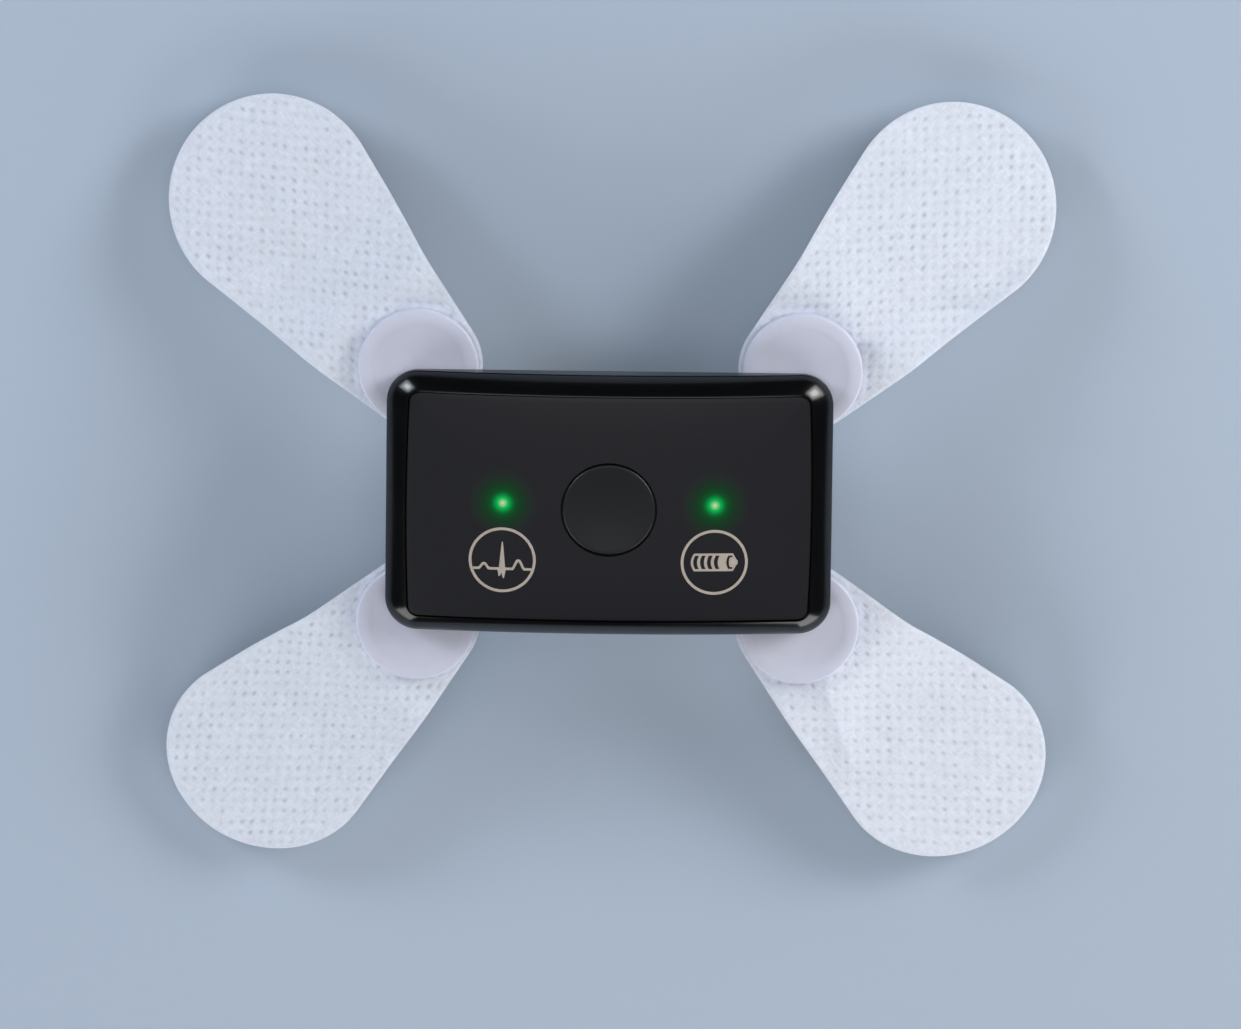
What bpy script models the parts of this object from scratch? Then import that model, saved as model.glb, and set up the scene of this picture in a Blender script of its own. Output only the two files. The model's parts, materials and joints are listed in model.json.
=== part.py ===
"""Patch Holter monitor: a flat ECG recorder held by four press-stud electrode patches.

The recorder is a front housing with a satin panel, a rear cover and what they hold: the
board, the cell, the lamps, the event key and four snap sockets. Each electrode is a pear of
non-woven fabric with a grey snap disc at its narrow end. It swivels about its stud and pulls
off downwards. X runs along the recorder, Y across it, and Z = 0 is the level of the patch tips.
"""

import math

import bmesh
import bpy
import numpy as np

MM = 0.001

# Clearances
fit_gap = 0.30 * MM
film_gap = 0.15 * MM
cut_overrun = 1.0 * MM

# Case outline, seen from above
case_length = 72.0 * MM
case_width = 43.0 * MM
case_corner = 5.2 * MM
rim_sag = 2.35 * MM
seam_bevel = 0.25 * MM
front_height = 3.2 * MM
rear_depth = 4.1 * MM
rear_round = 1.1 * MM
outline_wall = 1.3 * MM
inner_step = 1.3 * MM
shoulder_depth = 0.85 * MM
floor_thickness = 0.9 * MM
rest_end_inset = 16.0 * MM
rest_side_inset = 12.5 * MM

# Front panel
bezel_end_width = 3.6 * MM
bezel_side_width = 2.75 * MM
panel_corner = 1.8 * MM
panel_side_bulge = 0.44 * MM
panel_sag = 2.4 * MM
panel_thickness = 1.0 * MM
panel_edge = 0.12 * MM
ledge_corner = 0.6 * MM
ledge_width = 1.5 * MM
ledge_thickness = 0.8 * MM

# Gasket in the seam
gasket_width = 0.5 * MM

# Event key in the middle of the panel
key_radius = 7.5 * MM
key_edge = 0.35 * MM
key_dish = 0.35 * MM
key_flange_width = 0.8 * MM
key_flange_thickness = 0.5 * MM
key_travel = 0.35 * MM
key_recess = 0.08 * MM

# Lamps and light guides
lamp_x = 17.1 * MM
lamp_y = 0.8 * MM
guide_radius = 1.6 * MM
guide_flange_radius = 2.2 * MM
guide_flange_thickness = 0.5 * MM
guide_foot_radius = 1.3 * MM
led_length = 1.6 * MM
led_width = 0.8 * MM
led_height = 0.6 * MM

# Board, on a level between the sockets and the panel ledge
board_margin = 0.4 * MM
board_leg_width = 6.2 * MM
board_thickness = 0.6 * MM
board_drop = 1.0 * MM
board_corner = 0.5 * MM

# Cell, in the bay of the board
cell_width = 9.0 * MM
cell_thickness = 2.8 * MM
cell_corner = 0.8 * MM
cell_tab_length = 2.0 * MM
cell_tab_width = 6.0 * MM
cell_tab_thickness = 1.2 * MM

# Parts on the board
switch_side = 6.0 * MM
switch_stem_radius = 1.7 * MM
switch_stem_height = 0.4 * MM
chip_height = 0.9 * MM
chip_bevel = 0.12 * MM
processor_side = 7.0 * MM
processor_x = -15.0 * MM
chip_row_inset = 7.5 * MM
memory_length = 6.0 * MM
memory_width = 5.0 * MM
memory_x = 2.0 * MM
amplifier_side = 5.0 * MM
amplifier_x = 15.0 * MM

# Screws that close the case
screw_inset = 4.6 * MM
screw_y = 7.0 * MM
screw_head_radius = 1.25 * MM
screw_head_height = 0.45 * MM
screw_shank_radius = 0.6 * MM
screw_length = 2.4 * MM
screw_recess = 0.05 * MM
screw_slot_width = 0.3 * MM
screw_slot_depth = 0.22 * MM
boss_radius = 1.6 * MM

# Snap socket in the rear cover and snap stud on the patch
socket_radius = 2.75 * MM
socket_wall = 0.35 * MM
socket_top_wall = 0.35 * MM
socket_slit = 0.4 * MM
socket_slit_depth = 1.1 * MM
socket_board_gap = 0.15 * MM
stud_head_radius = 1.95 * MM
stud_head_height = 1.2 * MM
stud_neck_radius = 1.45 * MM
stud_flange_radius = 2.6 * MM
stud_flange_thickness = 0.45 * MM
stud_bore_radius = 1.1 * MM
stud_cap_thickness = 0.45 * MM

# Snap disc, round its own centre, with the stud off centre towards the recorder
disc_radius = 9.7 * MM
disc_thickness = 2.0 * MM
disc_round = 0.7 * MM
disc_step_width = 1.3 * MM
disc_step_height = 0.25 * MM
disc_end_inset = 5.0 * MM
disc_side_inset = 0.3 * MM
stud_offset = 6.2 * MM
post_clearance = 0.45 * MM

# Patch, flat pattern along its own axis from the disc centre
patch_angle = math.radians(46.7)
patch_narrow_radius = 10.4 * MM
patch_wide_radius = 17.1 * MM
patch_reach = 36.0 * MM
fabric_thickness = 0.5 * MM
adhesive_thickness = 0.6 * MM
adhesive_inset = 0.5 * MM

# Droop of the patch below the disc, by slope along the pattern
bend_start = 8.0 * MM
bend_end = 16.0 * MM
settle_end = 28.0 * MM
bend_slope = math.radians(27.0)
lobe_slope = math.radians(13.0)
droop_samples = 600

# Layers under the fabric
conductor_thickness = 0.25 * MM
conductor_width = 3.0 * MM
conductor_ring_radius = 3.0 * MM
conductor_pad_radius = 5.0 * MM
gel_radius = 6.5 * MM
gel_thickness = 0.65 * MM
eyelet_flange_radius = 3.0 * MM
eyelet_flange_thickness = 0.3 * MM
eyelet_post_radius = 0.8 * MM

# Facets and shading
smooth_angle = math.radians(35)
bevel_angle = math.radians(50)
least_half_width = 0.01 * MM
corner_steps = 7
long_steps = 10
side_steps = 2
bezel_steps = 6
round_steps = 3
board_corner_steps = 4
small_round_steps = 16
disc_steps = 32
narrow_arc_steps = 6
side_band_steps = 11
wide_arc_steps = 14
track_steps = 14

corners = {
    "upper_right": (1, 1),
    "upper_left": (-1, 1),
    "lower_left": (-1, -1),
    "lower_right": (1, -1),
}


# Materials

def make_material(name, rgb, roughness, metallic=0.0):
    """A plain Principled material in linear colour."""
    material = bpy.data.materials.new(name)
    material.use_nodes = True
    shader = material.node_tree.nodes["Principled BSDF"]
    shader.inputs["Base Color"].default_value = (*rgb, 1.0)
    shader.inputs["Roughness"].default_value = roughness
    shader.inputs["Metallic"].default_value = metallic
    material.diffuse_color = (*rgb, 1.0)
    return material


def make_materials():
    """Every finish of the part, by name."""
    return {
        "gloss_black": make_material("gloss_black_plastic", (0.004, 0.004, 0.006), 0.12),
        "panel": make_material("satin_panel", (0.018, 0.018, 0.022), 0.35),
        "key": make_material("satin_key", (0.016, 0.016, 0.020), 0.40),
        "rear": make_material("rear_plastic", (0.010, 0.010, 0.012), 0.30),
        "rubber": make_material("gasket_rubber", (0.02, 0.02, 0.02), 0.80),
        "board": make_material("board_green", (0.010, 0.080, 0.030), 0.45),
        "chip": make_material("chip_epoxy", (0.012, 0.012, 0.013), 0.55),
        "cell": make_material("cell_foil", (0.55, 0.56, 0.58), 0.35, 0.8),
        "lens": make_material("clear_green_lens", (0.08, 0.70, 0.20), 0.15),
        "led": make_material("led_body", (0.30, 0.80, 0.35), 0.30),
        "steel": make_material("nickel_steel", (0.60, 0.60, 0.58), 0.28, 1.0),
        "disc": make_material("lavender_disc", (0.50, 0.51, 0.62), 0.35),
        "fabric": make_material("white_nonwoven", (0.80, 0.82, 0.86), 0.90),
        "adhesive": make_material("skin_adhesive", (0.70, 0.66, 0.58), 0.60),
        "gel": make_material("hydrogel", (0.55, 0.70, 0.72), 0.20),
        "silver": make_material("silver_ink", (0.50, 0.50, 0.50), 0.40, 0.9),
    }


# Mesh helpers

def clear_scene():
    """Removes the objects that a new file opens with."""
    for item in list(bpy.data.objects):
        bpy.data.objects.remove(item, do_unlink=True)


def add_object(name, mesh, material=None, parent=None):
    """Links a mesh as an object, smooth except at its sharp edges."""
    item = bpy.data.objects.new(name, mesh)
    bpy.context.collection.objects.link(item)
    mesh.shade_smooth()
    mesh.set_sharp_from_angle(angle=smooth_angle)
    if material is not None:
        mesh.materials.clear()
        mesh.materials.append(material)
    item.parent = parent
    return item


def mesh_from(name, vertices, faces):
    """A mesh from points and faces, with its faces turned outwards."""
    mesh = bpy.data.meshes.new(name)
    mesh.from_pydata([tuple(map(float, point)) for point in vertices], [], faces)
    tidy = bmesh.new()
    tidy.from_mesh(mesh)
    bmesh.ops.recalc_face_normals(tidy, faces=tidy.faces)
    tidy.to_mesh(mesh)
    tidy.free()
    mesh.update()
    return mesh


def turned_mesh(name, profile, steps):
    """A body of revolution about Z from (radius, height) pairs.

    A radius of zero closes it, and a profile that starts off the axis returns to its start.
    """
    vertices = []
    rows = []
    for radius, height in profile:
        if radius <= 0.0:
            rows.append([len(vertices)] * steps)
            vertices.append((0.0, 0.0, height))
            continue
        rows.append(list(range(len(vertices), len(vertices) + steps)))
        for step in range(steps):
            angle = 2.0 * math.pi * step / steps
            vertices.append((radius * math.cos(angle), radius * math.sin(angle), height))
    faces = []
    closed = profile[0][0] > 0.0
    pairs = len(rows) if closed else len(rows) - 1
    for index in range(pairs):
        lower = rows[index]
        upper = rows[(index + 1) % len(rows)]
        for step in range(steps):
            turn = (step + 1) % steps
            corners_of_face = [lower[step], lower[turn], upper[turn], upper[step]]
            face = list(dict.fromkeys(corners_of_face))
            if len(face) > 2:
                faces.append(face)
    return mesh_from(name, vertices, faces)


def box_mesh(name, size, centre):
    """A box of a size about a centre."""
    solid = bmesh.new()
    bmesh.ops.create_cube(solid, size=1.0)
    for vertex in solid.verts:
        vertex.co = [centre[axis] + vertex.co[axis] * size[axis] for axis in range(3)]
    mesh = bpy.data.meshes.new(name)
    solid.to_mesh(mesh)
    solid.free()
    return mesh


def prism_mesh(name, outline, bottom, top):
    """A flat outline raised from one level to another."""
    count = len(outline)
    vertices = [(x, y, bottom) for x, y in outline] + [(x, y, top) for x, y in outline]
    faces = [list(range(count)), list(range(count, 2 * count))]
    for index in range(count):
        turn = (index + 1) % count
        faces.append([index, turn, count + turn, count + index])
    return mesh_from(name, vertices, faces)


def drum_profile(radius, bottom, top):
    """The profile of a plain round bar."""
    return [(0.0, bottom), (radius, bottom), (radius, top), (0.0, top)]


def cut(target, mesh, operation="DIFFERENCE"):
    """Cuts a mesh out of an object, or joins it, in the object's own frame."""
    tool = bpy.data.objects.new(target.name + "_cutter", mesh)
    bpy.context.collection.objects.link(tool)
    tool.parent = target.parent
    tool.hide_render = True
    tool.display_type = "WIRE"
    boolean = target.modifiers.new("cut", "BOOLEAN")
    boolean.operation = operation
    boolean.solver = "EXACT"
    boolean.object = tool
    return tool


def soften(target, width, segments=1):
    """Rounds the sharp edges of an object."""
    bevel = target.modifiers.new("soft_edges", "BEVEL")
    bevel.width = width
    bevel.segments = segments
    bevel.limit_method = "ANGLE"
    bevel.angle_limit = bevel_angle
    return bevel


# Recorder outline

def outline_ring(half_x, half_y, radius, bulge=0.0):
    """A rounded rectangle as points, with mirrored halves so that it can be bridged across."""
    straight_y = half_y - radius
    straight_x = half_x - radius
    upper = []
    for step in range(side_steps):
        y = straight_y * step / side_steps
        upper.append((half_x + bulge * (1.0 - (y / half_y) ** 2), y))
    corner_bulge = bulge * (1.0 - (straight_y / half_y) ** 2)
    for step in range(corner_steps):
        angle = 0.5 * math.pi * step / corner_steps
        x = straight_x + radius * math.cos(angle) + corner_bulge * math.cos(angle)
        upper.append((x, straight_y + radius * math.sin(angle)))
    for step in range(long_steps // 2):
        upper.append((straight_x * (1.0 - 2.0 * step / long_steps), half_y))
    left = [(-x, y) for x, y in reversed(upper)]
    upper = upper + [(0.0, half_y)] + left
    lower = [(x, -y) for x, y in reversed(upper[1:-1])]
    return upper + lower


def arch(sag, half_length):
    """The fall of an arched line at a place along X, on one circle."""
    radius = (half_length ** 2 + sag ** 2) / (2.0 * sag)
    return lambda x: radius - math.sqrt(radius ** 2 - x ** 2)


# Sizes that follow from the case
panel_length = case_length - 2 * bezel_end_width
panel_width = case_width - 2 * bezel_side_width
inner_inset = outline_wall + inner_step
screw_x = case_length / 2 - screw_inset
board_half_length = screw_x - boss_radius - fit_gap
board_half_width = case_width / 2 - inner_inset - board_margin
chip_row_y = board_half_width - chip_row_inset
cell_length = 2 * (board_half_length - board_leg_width - fit_gap)
disc_centre_x = case_length / 2 - disc_end_inset
disc_centre_y = case_width / 2 - disc_side_inset

rim_fall = arch(rim_sag, case_length / 2)
face_fall = arch(panel_sag, panel_length / 2)


def droop_slope(along):
    """The downward slope of the patch at places along its pattern."""
    rise = np.clip((along - bend_start) / (bend_end - bend_start), 0.0, 1.0)
    settle = np.clip((along - bend_end) / (settle_end - bend_end), 0.0, 1.0)
    ease = rise * rise * (3.0 - 2.0 * rise)
    return ease * (bend_slope + (lobe_slope - bend_slope) * settle)


def droop_curve():
    """Places along the pattern, with their distance outwards and their depth."""
    tip = patch_reach + patch_wide_radius
    along = np.linspace(0.0, tip, droop_samples)
    slope = droop_slope(along)
    step = along[1] - along[0]
    middle = 0.5 * (slope[1:] + slope[:-1])
    outwards = np.concatenate([[0.0], np.cumsum(np.cos(middle)) * step])
    depth = np.concatenate([[0.0], np.cumsum(np.sin(middle)) * step])
    return along, outwards, depth


curve_along, curve_outwards, curve_depth = droop_curve()


def drooped(along):
    """Distance outwards from the disc centre and depth, for a place along the pattern."""
    if along <= 0.0:
        return along, 0.0
    outwards = float(np.interp(along, curve_along, curve_outwards))
    depth = float(np.interp(along, curve_along, curve_depth))
    return outwards, depth


# Levels, from the patch tips upwards
adhesive_tip = patch_reach + patch_wide_radius - adhesive_inset
fabric_top = fabric_thickness + film_gap + adhesive_thickness + drooped(adhesive_tip)[1]
disc_bottom = fabric_top + film_gap
disc_top = disc_bottom + disc_thickness
rear_level = disc_top + fit_gap
rim_level = rear_level + rear_depth
face_level = rim_level + front_height
floor_level = rear_level + floor_thickness
panel_under = face_level - panel_thickness
board_top = rim_level - board_drop
board_bottom = board_top - board_thickness
socket_top = board_bottom - socket_board_gap
stud_top = socket_top - socket_top_wall - fit_gap

post_hole_radius = eyelet_post_radius + post_clearance
stud_x = disc_centre_x - stud_offset * math.cos(patch_angle)
stud_y = disc_centre_y - stud_offset * math.sin(patch_angle)


def rim_at(x):
    """The level of the seam at a place along X."""
    return rim_level - rim_fall(x)


def face_at(x):
    """The level of the panel's upper face at a place along X."""
    return face_level - face_fall(x)


def case_ring(inset, level):
    """The case outline set in by a distance, each point on a level that may follow X."""
    half_x = case_length / 2 - inset
    half_y = case_width / 2 - inset
    radius = case_corner - inset
    return [(x, y, level(x)) for x, y in outline_ring(half_x, half_y, radius)]


def panel_ring(inset, level):
    """The panel outline set in by a distance, on a level that follows X."""
    half_x = panel_length / 2 - inset
    half_y = panel_width / 2 - inset
    radius = max(panel_corner - inset, ledge_corner)
    points = outline_ring(half_x, half_y, radius, panel_side_bulge)
    return [(x, y, level(x)) for x, y in points]


def bezel_ring(turn):
    """A ring on the rounded bezel, from the seam at 0 to the panel's edge at a right angle."""
    share = 1.0 - math.cos(turn)
    lift = math.sin(turn)
    half_x = case_length / 2 * (1.0 - share) + panel_length / 2 * share
    half_y = case_width / 2 * (1.0 - share) + panel_width / 2 * share
    radius = case_corner * (1.0 - share) + panel_corner * share
    points = outline_ring(half_x, half_y, radius, panel_side_bulge * share)
    seam = fit_gap / 2 + seam_bevel
    return [(x, y, (rim_at(x) + seam) * (1.0 - lift) + face_at(x) * lift) for x, y in points]


def loft_mesh(name, rings, ends="none"):
    """Joins rings with quads, round to the first or capped with flat or arched ends."""
    count = len(rings[0])
    vertices = [point for ring in rings for point in ring]
    faces = []
    pairs = len(rings) if ends == "none" else len(rings) - 1
    for index in range(pairs):
        low = index * count
        high = ((index + 1) % len(rings)) * count
        for step in range(count):
            turn = (step + 1) % count
            faces.append([low + step, low + turn, high + turn, high + step])
    for base in (0, (len(rings) - 1) * count):
        if ends == "flat":
            faces.append(list(range(base, base + count)))
        if ends == "arched":
            for step in range(count // 2):
                strip = [base + step, base + step + 1,
                         base + count - step - 1, base + (count - step) % count]
                faces.append(list(dict.fromkeys(strip)))
    return mesh_from(name, vertices, faces)


# Recorder pieces

def make_front_housing(materials):
    """The gloss bezel frame, with the panel's ledge and four screw bosses."""
    half_gap = fit_gap / 2
    seat_depth = panel_thickness + film_gap
    rings = [case_ring(seam_bevel, lambda x: rim_at(x) + half_gap)]
    for step in range(bezel_steps + 1):
        rings.append(bezel_ring(0.5 * math.pi * step / bezel_steps))
    rings.append(panel_ring(0.0, lambda x: face_at(x) - seat_depth))
    rings.append(panel_ring(ledge_width, lambda x: face_at(x) - seat_depth))
    rings.append(panel_ring(ledge_width, lambda x: face_at(x) - seat_depth - ledge_thickness))
    rings.append(case_ring(inner_inset, lambda x: face_at(x) - seat_depth - ledge_thickness))
    rings.append(case_ring(inner_inset, lambda x: rim_at(x) + half_gap))
    housing = add_object("front_housing", loft_mesh("front_housing", rings),
                         materials["gloss_black"])
    boss_top = face_at(screw_x + boss_radius) - seat_depth - ledge_thickness / 2
    boss_foot = floor_level + fit_gap
    bore_top = rear_level + screw_recess + screw_head_height + screw_length + fit_gap
    boss = drum_profile(boss_radius, boss_foot, boss_top)
    bore = drum_profile(screw_shank_radius + fit_gap, boss_foot - cut_overrun, bore_top)
    cut(housing, repeated("bosses", boss, screw_x, screw_y), "UNION")
    cut(housing, repeated("bores", bore, screw_x, screw_y))
    return housing


def repeated(name, profile, place_x, place_y):
    """One mesh of four turned bodies, one in each quarter of the case."""
    group = bmesh.new()
    for side_x, side_y in corners.values():
        mesh = turned_mesh(name, profile, small_round_steps)
        group.from_mesh(moved(mesh, (side_x * place_x, side_y * place_y)))
        bpy.data.meshes.remove(mesh)
    mesh = bpy.data.meshes.new(name)
    group.to_mesh(mesh)
    group.free()
    return mesh


def moved(mesh, place):
    """Shifts a mesh sideways."""
    for vertex in mesh.vertices:
        vertex.co.x += place[0]
        vertex.co.y += place[1]
    return mesh


def make_front_panel(materials):
    """The arched satin panel, with holes for the key and the two light guides."""
    rings = [
        panel_ring(film_gap, lambda x: face_at(x) - panel_thickness),
        panel_ring(film_gap, lambda x: face_at(x) - panel_edge),
        panel_ring(film_gap + panel_edge, face_at),
    ]
    panel = add_object("front_panel", loft_mesh("front_panel", rings, "arched"), materials["panel"])
    low = face_at(panel_length / 2) - panel_thickness - cut_overrun
    high = face_level + cut_overrun
    hole = turned_mesh("hole", drum_profile(key_radius + fit_gap, low, high), disc_steps)
    cut(panel, hole)
    for side in (-1, 1):
        bore = drum_profile(guide_radius + film_gap, low, high)
        hole = turned_mesh("hole", bore, small_round_steps)
        cut(panel, moved(hole, (side * lamp_x, lamp_y)))
    return panel


def make_rear_cover(materials):
    """The tray that closes the back, with a shoulder for the gasket.

    The middle of its flat underside, clear of the patches, is the face it rests on.
    """
    half_gap = fit_gap / 2
    rest = outline_ring(case_length / 2 - rest_end_inset, case_width / 2 - rest_side_inset,
                        rear_round)
    rings = [[(x, y, rear_level) for x, y in rest]]
    for step in range(round_steps + 1):
        turn = 0.5 * math.pi * step / round_steps
        inset = rear_round * (1.0 - math.sin(turn))
        level = rear_level + rear_round * (1.0 - math.cos(turn))
        rings.append(case_ring(inset, lambda x, level=level: level))
    rings += [
        case_ring(0.0, lambda x: rim_at(x) - half_gap - seam_bevel),
        case_ring(seam_bevel, lambda x: rim_at(x) - half_gap),
        case_ring(outline_wall, lambda x: rim_at(x) - half_gap),
        case_ring(outline_wall, lambda x: rim_at(x) - shoulder_depth),
        case_ring(inner_inset, lambda x: rim_at(x) - shoulder_depth),
        case_ring(inner_inset, lambda x: floor_level),
    ]
    cover = add_object("rear_cover", loft_mesh("rear_cover", rings, "flat"), materials["rear"])
    low = rear_level - cut_overrun
    mouth = drum_profile(socket_radius + fit_gap, low, socket_top + fit_gap)
    sink_top = rear_level + screw_recess + screw_head_height + film_gap
    sink = [
        (0.0, low),
        (screw_head_radius + fit_gap, low),
        (screw_head_radius + fit_gap, sink_top),
        (screw_shank_radius + fit_gap, sink_top),
        (screw_shank_radius + fit_gap, floor_level + cut_overrun),
        (0.0, floor_level + cut_overrun),
    ]
    cut(cover, repeated("mouths", mouth, stud_x, stud_y))
    cut(cover, repeated("sinks", sink, screw_x, screw_y))
    return cover


def make_gasket(materials):
    """The rubber ring on the shoulder, pressed by the front housing."""
    outer = outline_wall + film_gap
    inner = outer + gasket_width
    rings = [
        case_ring(outer, lambda x: rim_at(x) - shoulder_depth + film_gap),
        case_ring(outer, lambda x: rim_at(x)),
        case_ring(inner, lambda x: rim_at(x)),
        case_ring(inner, lambda x: rim_at(x) - shoulder_depth + film_gap),
    ]
    return add_object("housing_gasket", loft_mesh("housing_gasket", rings),
                      materials["rubber"])


def rounded_outline(points, radius, steps):
    """Rounds each corner of a polygon whose sides meet at right angles."""
    result = []
    count = len(points)
    for index in range(count):
        before = np.array(points[index - 1])
        here = np.array(points[index])
        after = np.array(points[(index + 1) % count])
        into = (here - before) / np.linalg.norm(here - before)
        out = (after - here) / np.linalg.norm(after - here)
        centre = here - into * radius + out * radius
        for step in range(steps + 1):
            turn = 0.5 * math.pi * step / steps
            point = centre - out * radius * math.cos(turn) + into * radius * math.sin(turn)
            result.append((float(point[0]), float(point[1])))
    return result


def make_board(materials):
    """The main board: a bridge with two legs that reach round the cell to the lower sockets."""
    bay = cell_length / 2 + fit_gap
    bay_top = cell_width - board_half_width + 2 * fit_gap
    points = [
        (board_half_length, board_half_width),
        (-board_half_length, board_half_width),
        (-board_half_length, -board_half_width),
        (-bay, -board_half_width),
        (-bay, bay_top),
        (bay, bay_top),
        (bay, -board_half_width),
        (board_half_length, -board_half_width),
    ]
    outline = rounded_outline(points, board_corner, board_corner_steps)
    mesh = prism_mesh("main_board", outline, board_bottom, board_top)
    return add_object("main_board", mesh, materials["board"])


def make_cell(materials):
    """The slim pouch cell in the bay, with its folded tab end."""
    centre_y = cell_width / 2 - board_half_width + fit_gap / 2
    centre_z = floor_level + film_gap + cell_thickness / 2
    mesh = box_mesh("battery_cell", (cell_length - cell_tab_length, cell_width, cell_thickness),
                    (-cell_tab_length / 2, centre_y, centre_z))
    cell = add_object("battery_cell", mesh, materials["cell"])
    soften(cell, cell_corner, round_steps)
    tab = box_mesh("tab", (2 * cell_tab_length, cell_tab_width, cell_tab_thickness),
                   (cell_length / 2 - cell_tab_length, centre_y, centre_z))
    cut(cell, tab, "UNION")
    return cell


def make_chip(name, size, place, material):
    """A moulded chip package on the board."""
    low = board_top + film_gap
    mesh = box_mesh(name, size, (place[0], place[1], low + size[2] / 2))
    chip = add_object(name, mesh, material)
    soften(chip, chip_bevel)
    return chip


def make_board_parts(materials):
    """The chips, the lamps and the switch."""
    chip = materials["chip"]
    make_chip("processor_chip", (processor_side, processor_side, chip_height),
              (processor_x, chip_row_y), chip)
    make_chip("memory_chip", (memory_length, memory_width, chip_height),
              (memory_x, chip_row_y), chip)
    make_chip("ecg_front_end_chip", (amplifier_side, amplifier_side, chip_height),
              (amplifier_x, chip_row_y), chip)
    for name, side in (("led_heart", -1), ("led_battery", 1)):
        make_chip(name, (led_length, led_width, led_height), (side * lamp_x, lamp_y),
                  materials["led"])
    key_foot = panel_under - face_fall(key_radius + key_flange_width) - film_gap
    key_foot -= key_flange_thickness
    stem_top = key_foot - key_travel - film_gap
    body_top = stem_top - switch_stem_height
    low = board_top + film_gap
    mesh = box_mesh("event_switch", (switch_side, switch_side, body_top - low),
                    (0.0, 0.0, (low + body_top) / 2))
    switch = add_object("event_switch", mesh, materials["chip"])
    stem = drum_profile(switch_stem_radius, (low + body_top) / 2, stem_top)
    cut(switch, turned_mesh("stem", stem, small_round_steps), "UNION")


def make_event_key(materials):
    """The round key, dished on top, with a flange that keeps it under the panel."""
    top = face_level - key_recess
    flange_top = panel_under - face_fall(key_radius + key_flange_width) - film_gap
    foot = flange_top - key_flange_thickness
    rim = key_radius - key_edge
    profile = [(0.0, foot), (key_radius + key_flange_width, foot),
               (key_radius + key_flange_width, flange_top), (key_radius, flange_top)]
    for step in range(round_steps + 1):
        turn = 0.5 * math.pi * step / round_steps
        height = top - key_edge * (1.0 - math.sin(turn))
        profile.append((rim + key_edge * math.cos(turn), height))
    for step in range(1, bezel_steps):
        share = step / bezel_steps
        radius = rim * (1.0 - share)
        profile.append((radius, top - key_dish * math.sin(0.5 * math.pi * share)))
    profile.append((0.0, top - key_dish))
    return add_object("event_button", turned_mesh("event_button", profile, disc_steps),
                      materials["key"])


def make_light_guides(materials):
    """The two light guides, flush with the panel over the lamps."""
    top = face_at(lamp_x + guide_radius)
    flange_top = panel_under - face_fall(lamp_x + guide_flange_radius) - film_gap
    foot = board_top + film_gap + led_height + fit_gap
    profile = [
        (0.0, foot),
        (guide_foot_radius, foot),
        (guide_foot_radius, flange_top - guide_flange_thickness),
        (guide_flange_radius, flange_top - guide_flange_thickness),
        (guide_flange_radius, flange_top),
        (guide_radius, flange_top),
        (guide_radius, top),
        (0.0, top),
    ]
    for name, side in (("light_guide_heart", -1), ("light_guide_battery", 1)):
        mesh = turned_mesh(name, profile, small_round_steps)
        add_object(name, moved(mesh, (side * lamp_x, lamp_y)), materials["lens"])


def make_screws(materials):
    """The four slotted screws in the rear cover."""
    head = rear_level + screw_recess
    neck = head + screw_head_height
    profile = [
        (0.0, head),
        (screw_head_radius, head),
        (screw_head_radius, neck),
        (screw_shank_radius, neck),
        (screw_shank_radius, neck + screw_length),
        (0.0, neck + screw_length),
    ]
    slot_length = 2 * (screw_head_radius + cut_overrun)
    for name, (side_x, side_y) in corners.items():
        place = (side_x * screw_x, side_y * screw_y)
        mesh = moved(turned_mesh("screw", profile, small_round_steps), place)
        screw = add_object("cover_screw_" + name, mesh, materials["steel"])
        slot = box_mesh("slot", (slot_length, screw_slot_width, 2 * screw_slot_depth),
                        (place[0], place[1], head))
        cut(screw, slot)


def make_socket(name, place, materials):
    """A turned snap socket, open downwards, with four spring slits in its wall."""
    inner = socket_radius - socket_wall
    profile = [
        (inner, rear_level),
        (socket_radius, rear_level),
        (socket_radius, socket_top),
        (0.0, socket_top),
        (0.0, socket_top - socket_top_wall),
        (inner, socket_top - socket_top_wall),
    ]
    mesh = turned_mesh("socket", profile, small_round_steps)
    socket = add_object("snap_socket_" + name, moved(mesh, place), materials["steel"])
    for turn in range(2):
        size = [2 * (socket_radius + cut_overrun), socket_slit, 2 * socket_slit_depth]
        if turn:
            size[0], size[1] = size[1], size[0]
        cut(socket, box_mesh("slit", size, (place[0], place[1], rear_level)))
    return socket


# Electrode pieces, in the electrode's own frame: stud axis at the origin, +X along the patch

def make_holder(name, place, angle, parent=None):
    """An empty on a joint's axis."""
    holder = bpy.data.objects.new(name, None)
    bpy.context.collection.objects.link(holder)
    holder.parent = parent
    holder.location = (place[0], place[1], 0.0)
    holder.rotation_euler = (0.0, 0.0, angle)
    return holder


def pear_stations(inset):
    """Places along the pattern with the half width of the pear there, from end to end."""
    narrow = patch_narrow_radius - inset
    wide = patch_wide_radius - inset
    lean = math.asin((wide - narrow) / patch_reach)
    stations = []
    for step in range(narrow_arc_steps + 1):
        angle = (0.5 * math.pi - lean) * step / narrow_arc_steps
        stations.append((-narrow * math.cos(angle), narrow * math.sin(angle)))
    start = (-narrow * math.sin(lean), narrow * math.cos(lean))
    end = (patch_reach - wide * math.sin(lean), wide * math.cos(lean))
    for step in range(1, side_band_steps):
        share = step / side_band_steps
        stations.append((start[0] + (end[0] - start[0]) * share,
                         start[1] + (end[1] - start[1]) * share))
    for step in range(wide_arc_steps + 1):
        angle = -lean + (0.5 * math.pi + lean) * step / wide_arc_steps
        stations.append((patch_reach + wide * math.sin(angle), wide * math.cos(angle)))
    return stations


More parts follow.
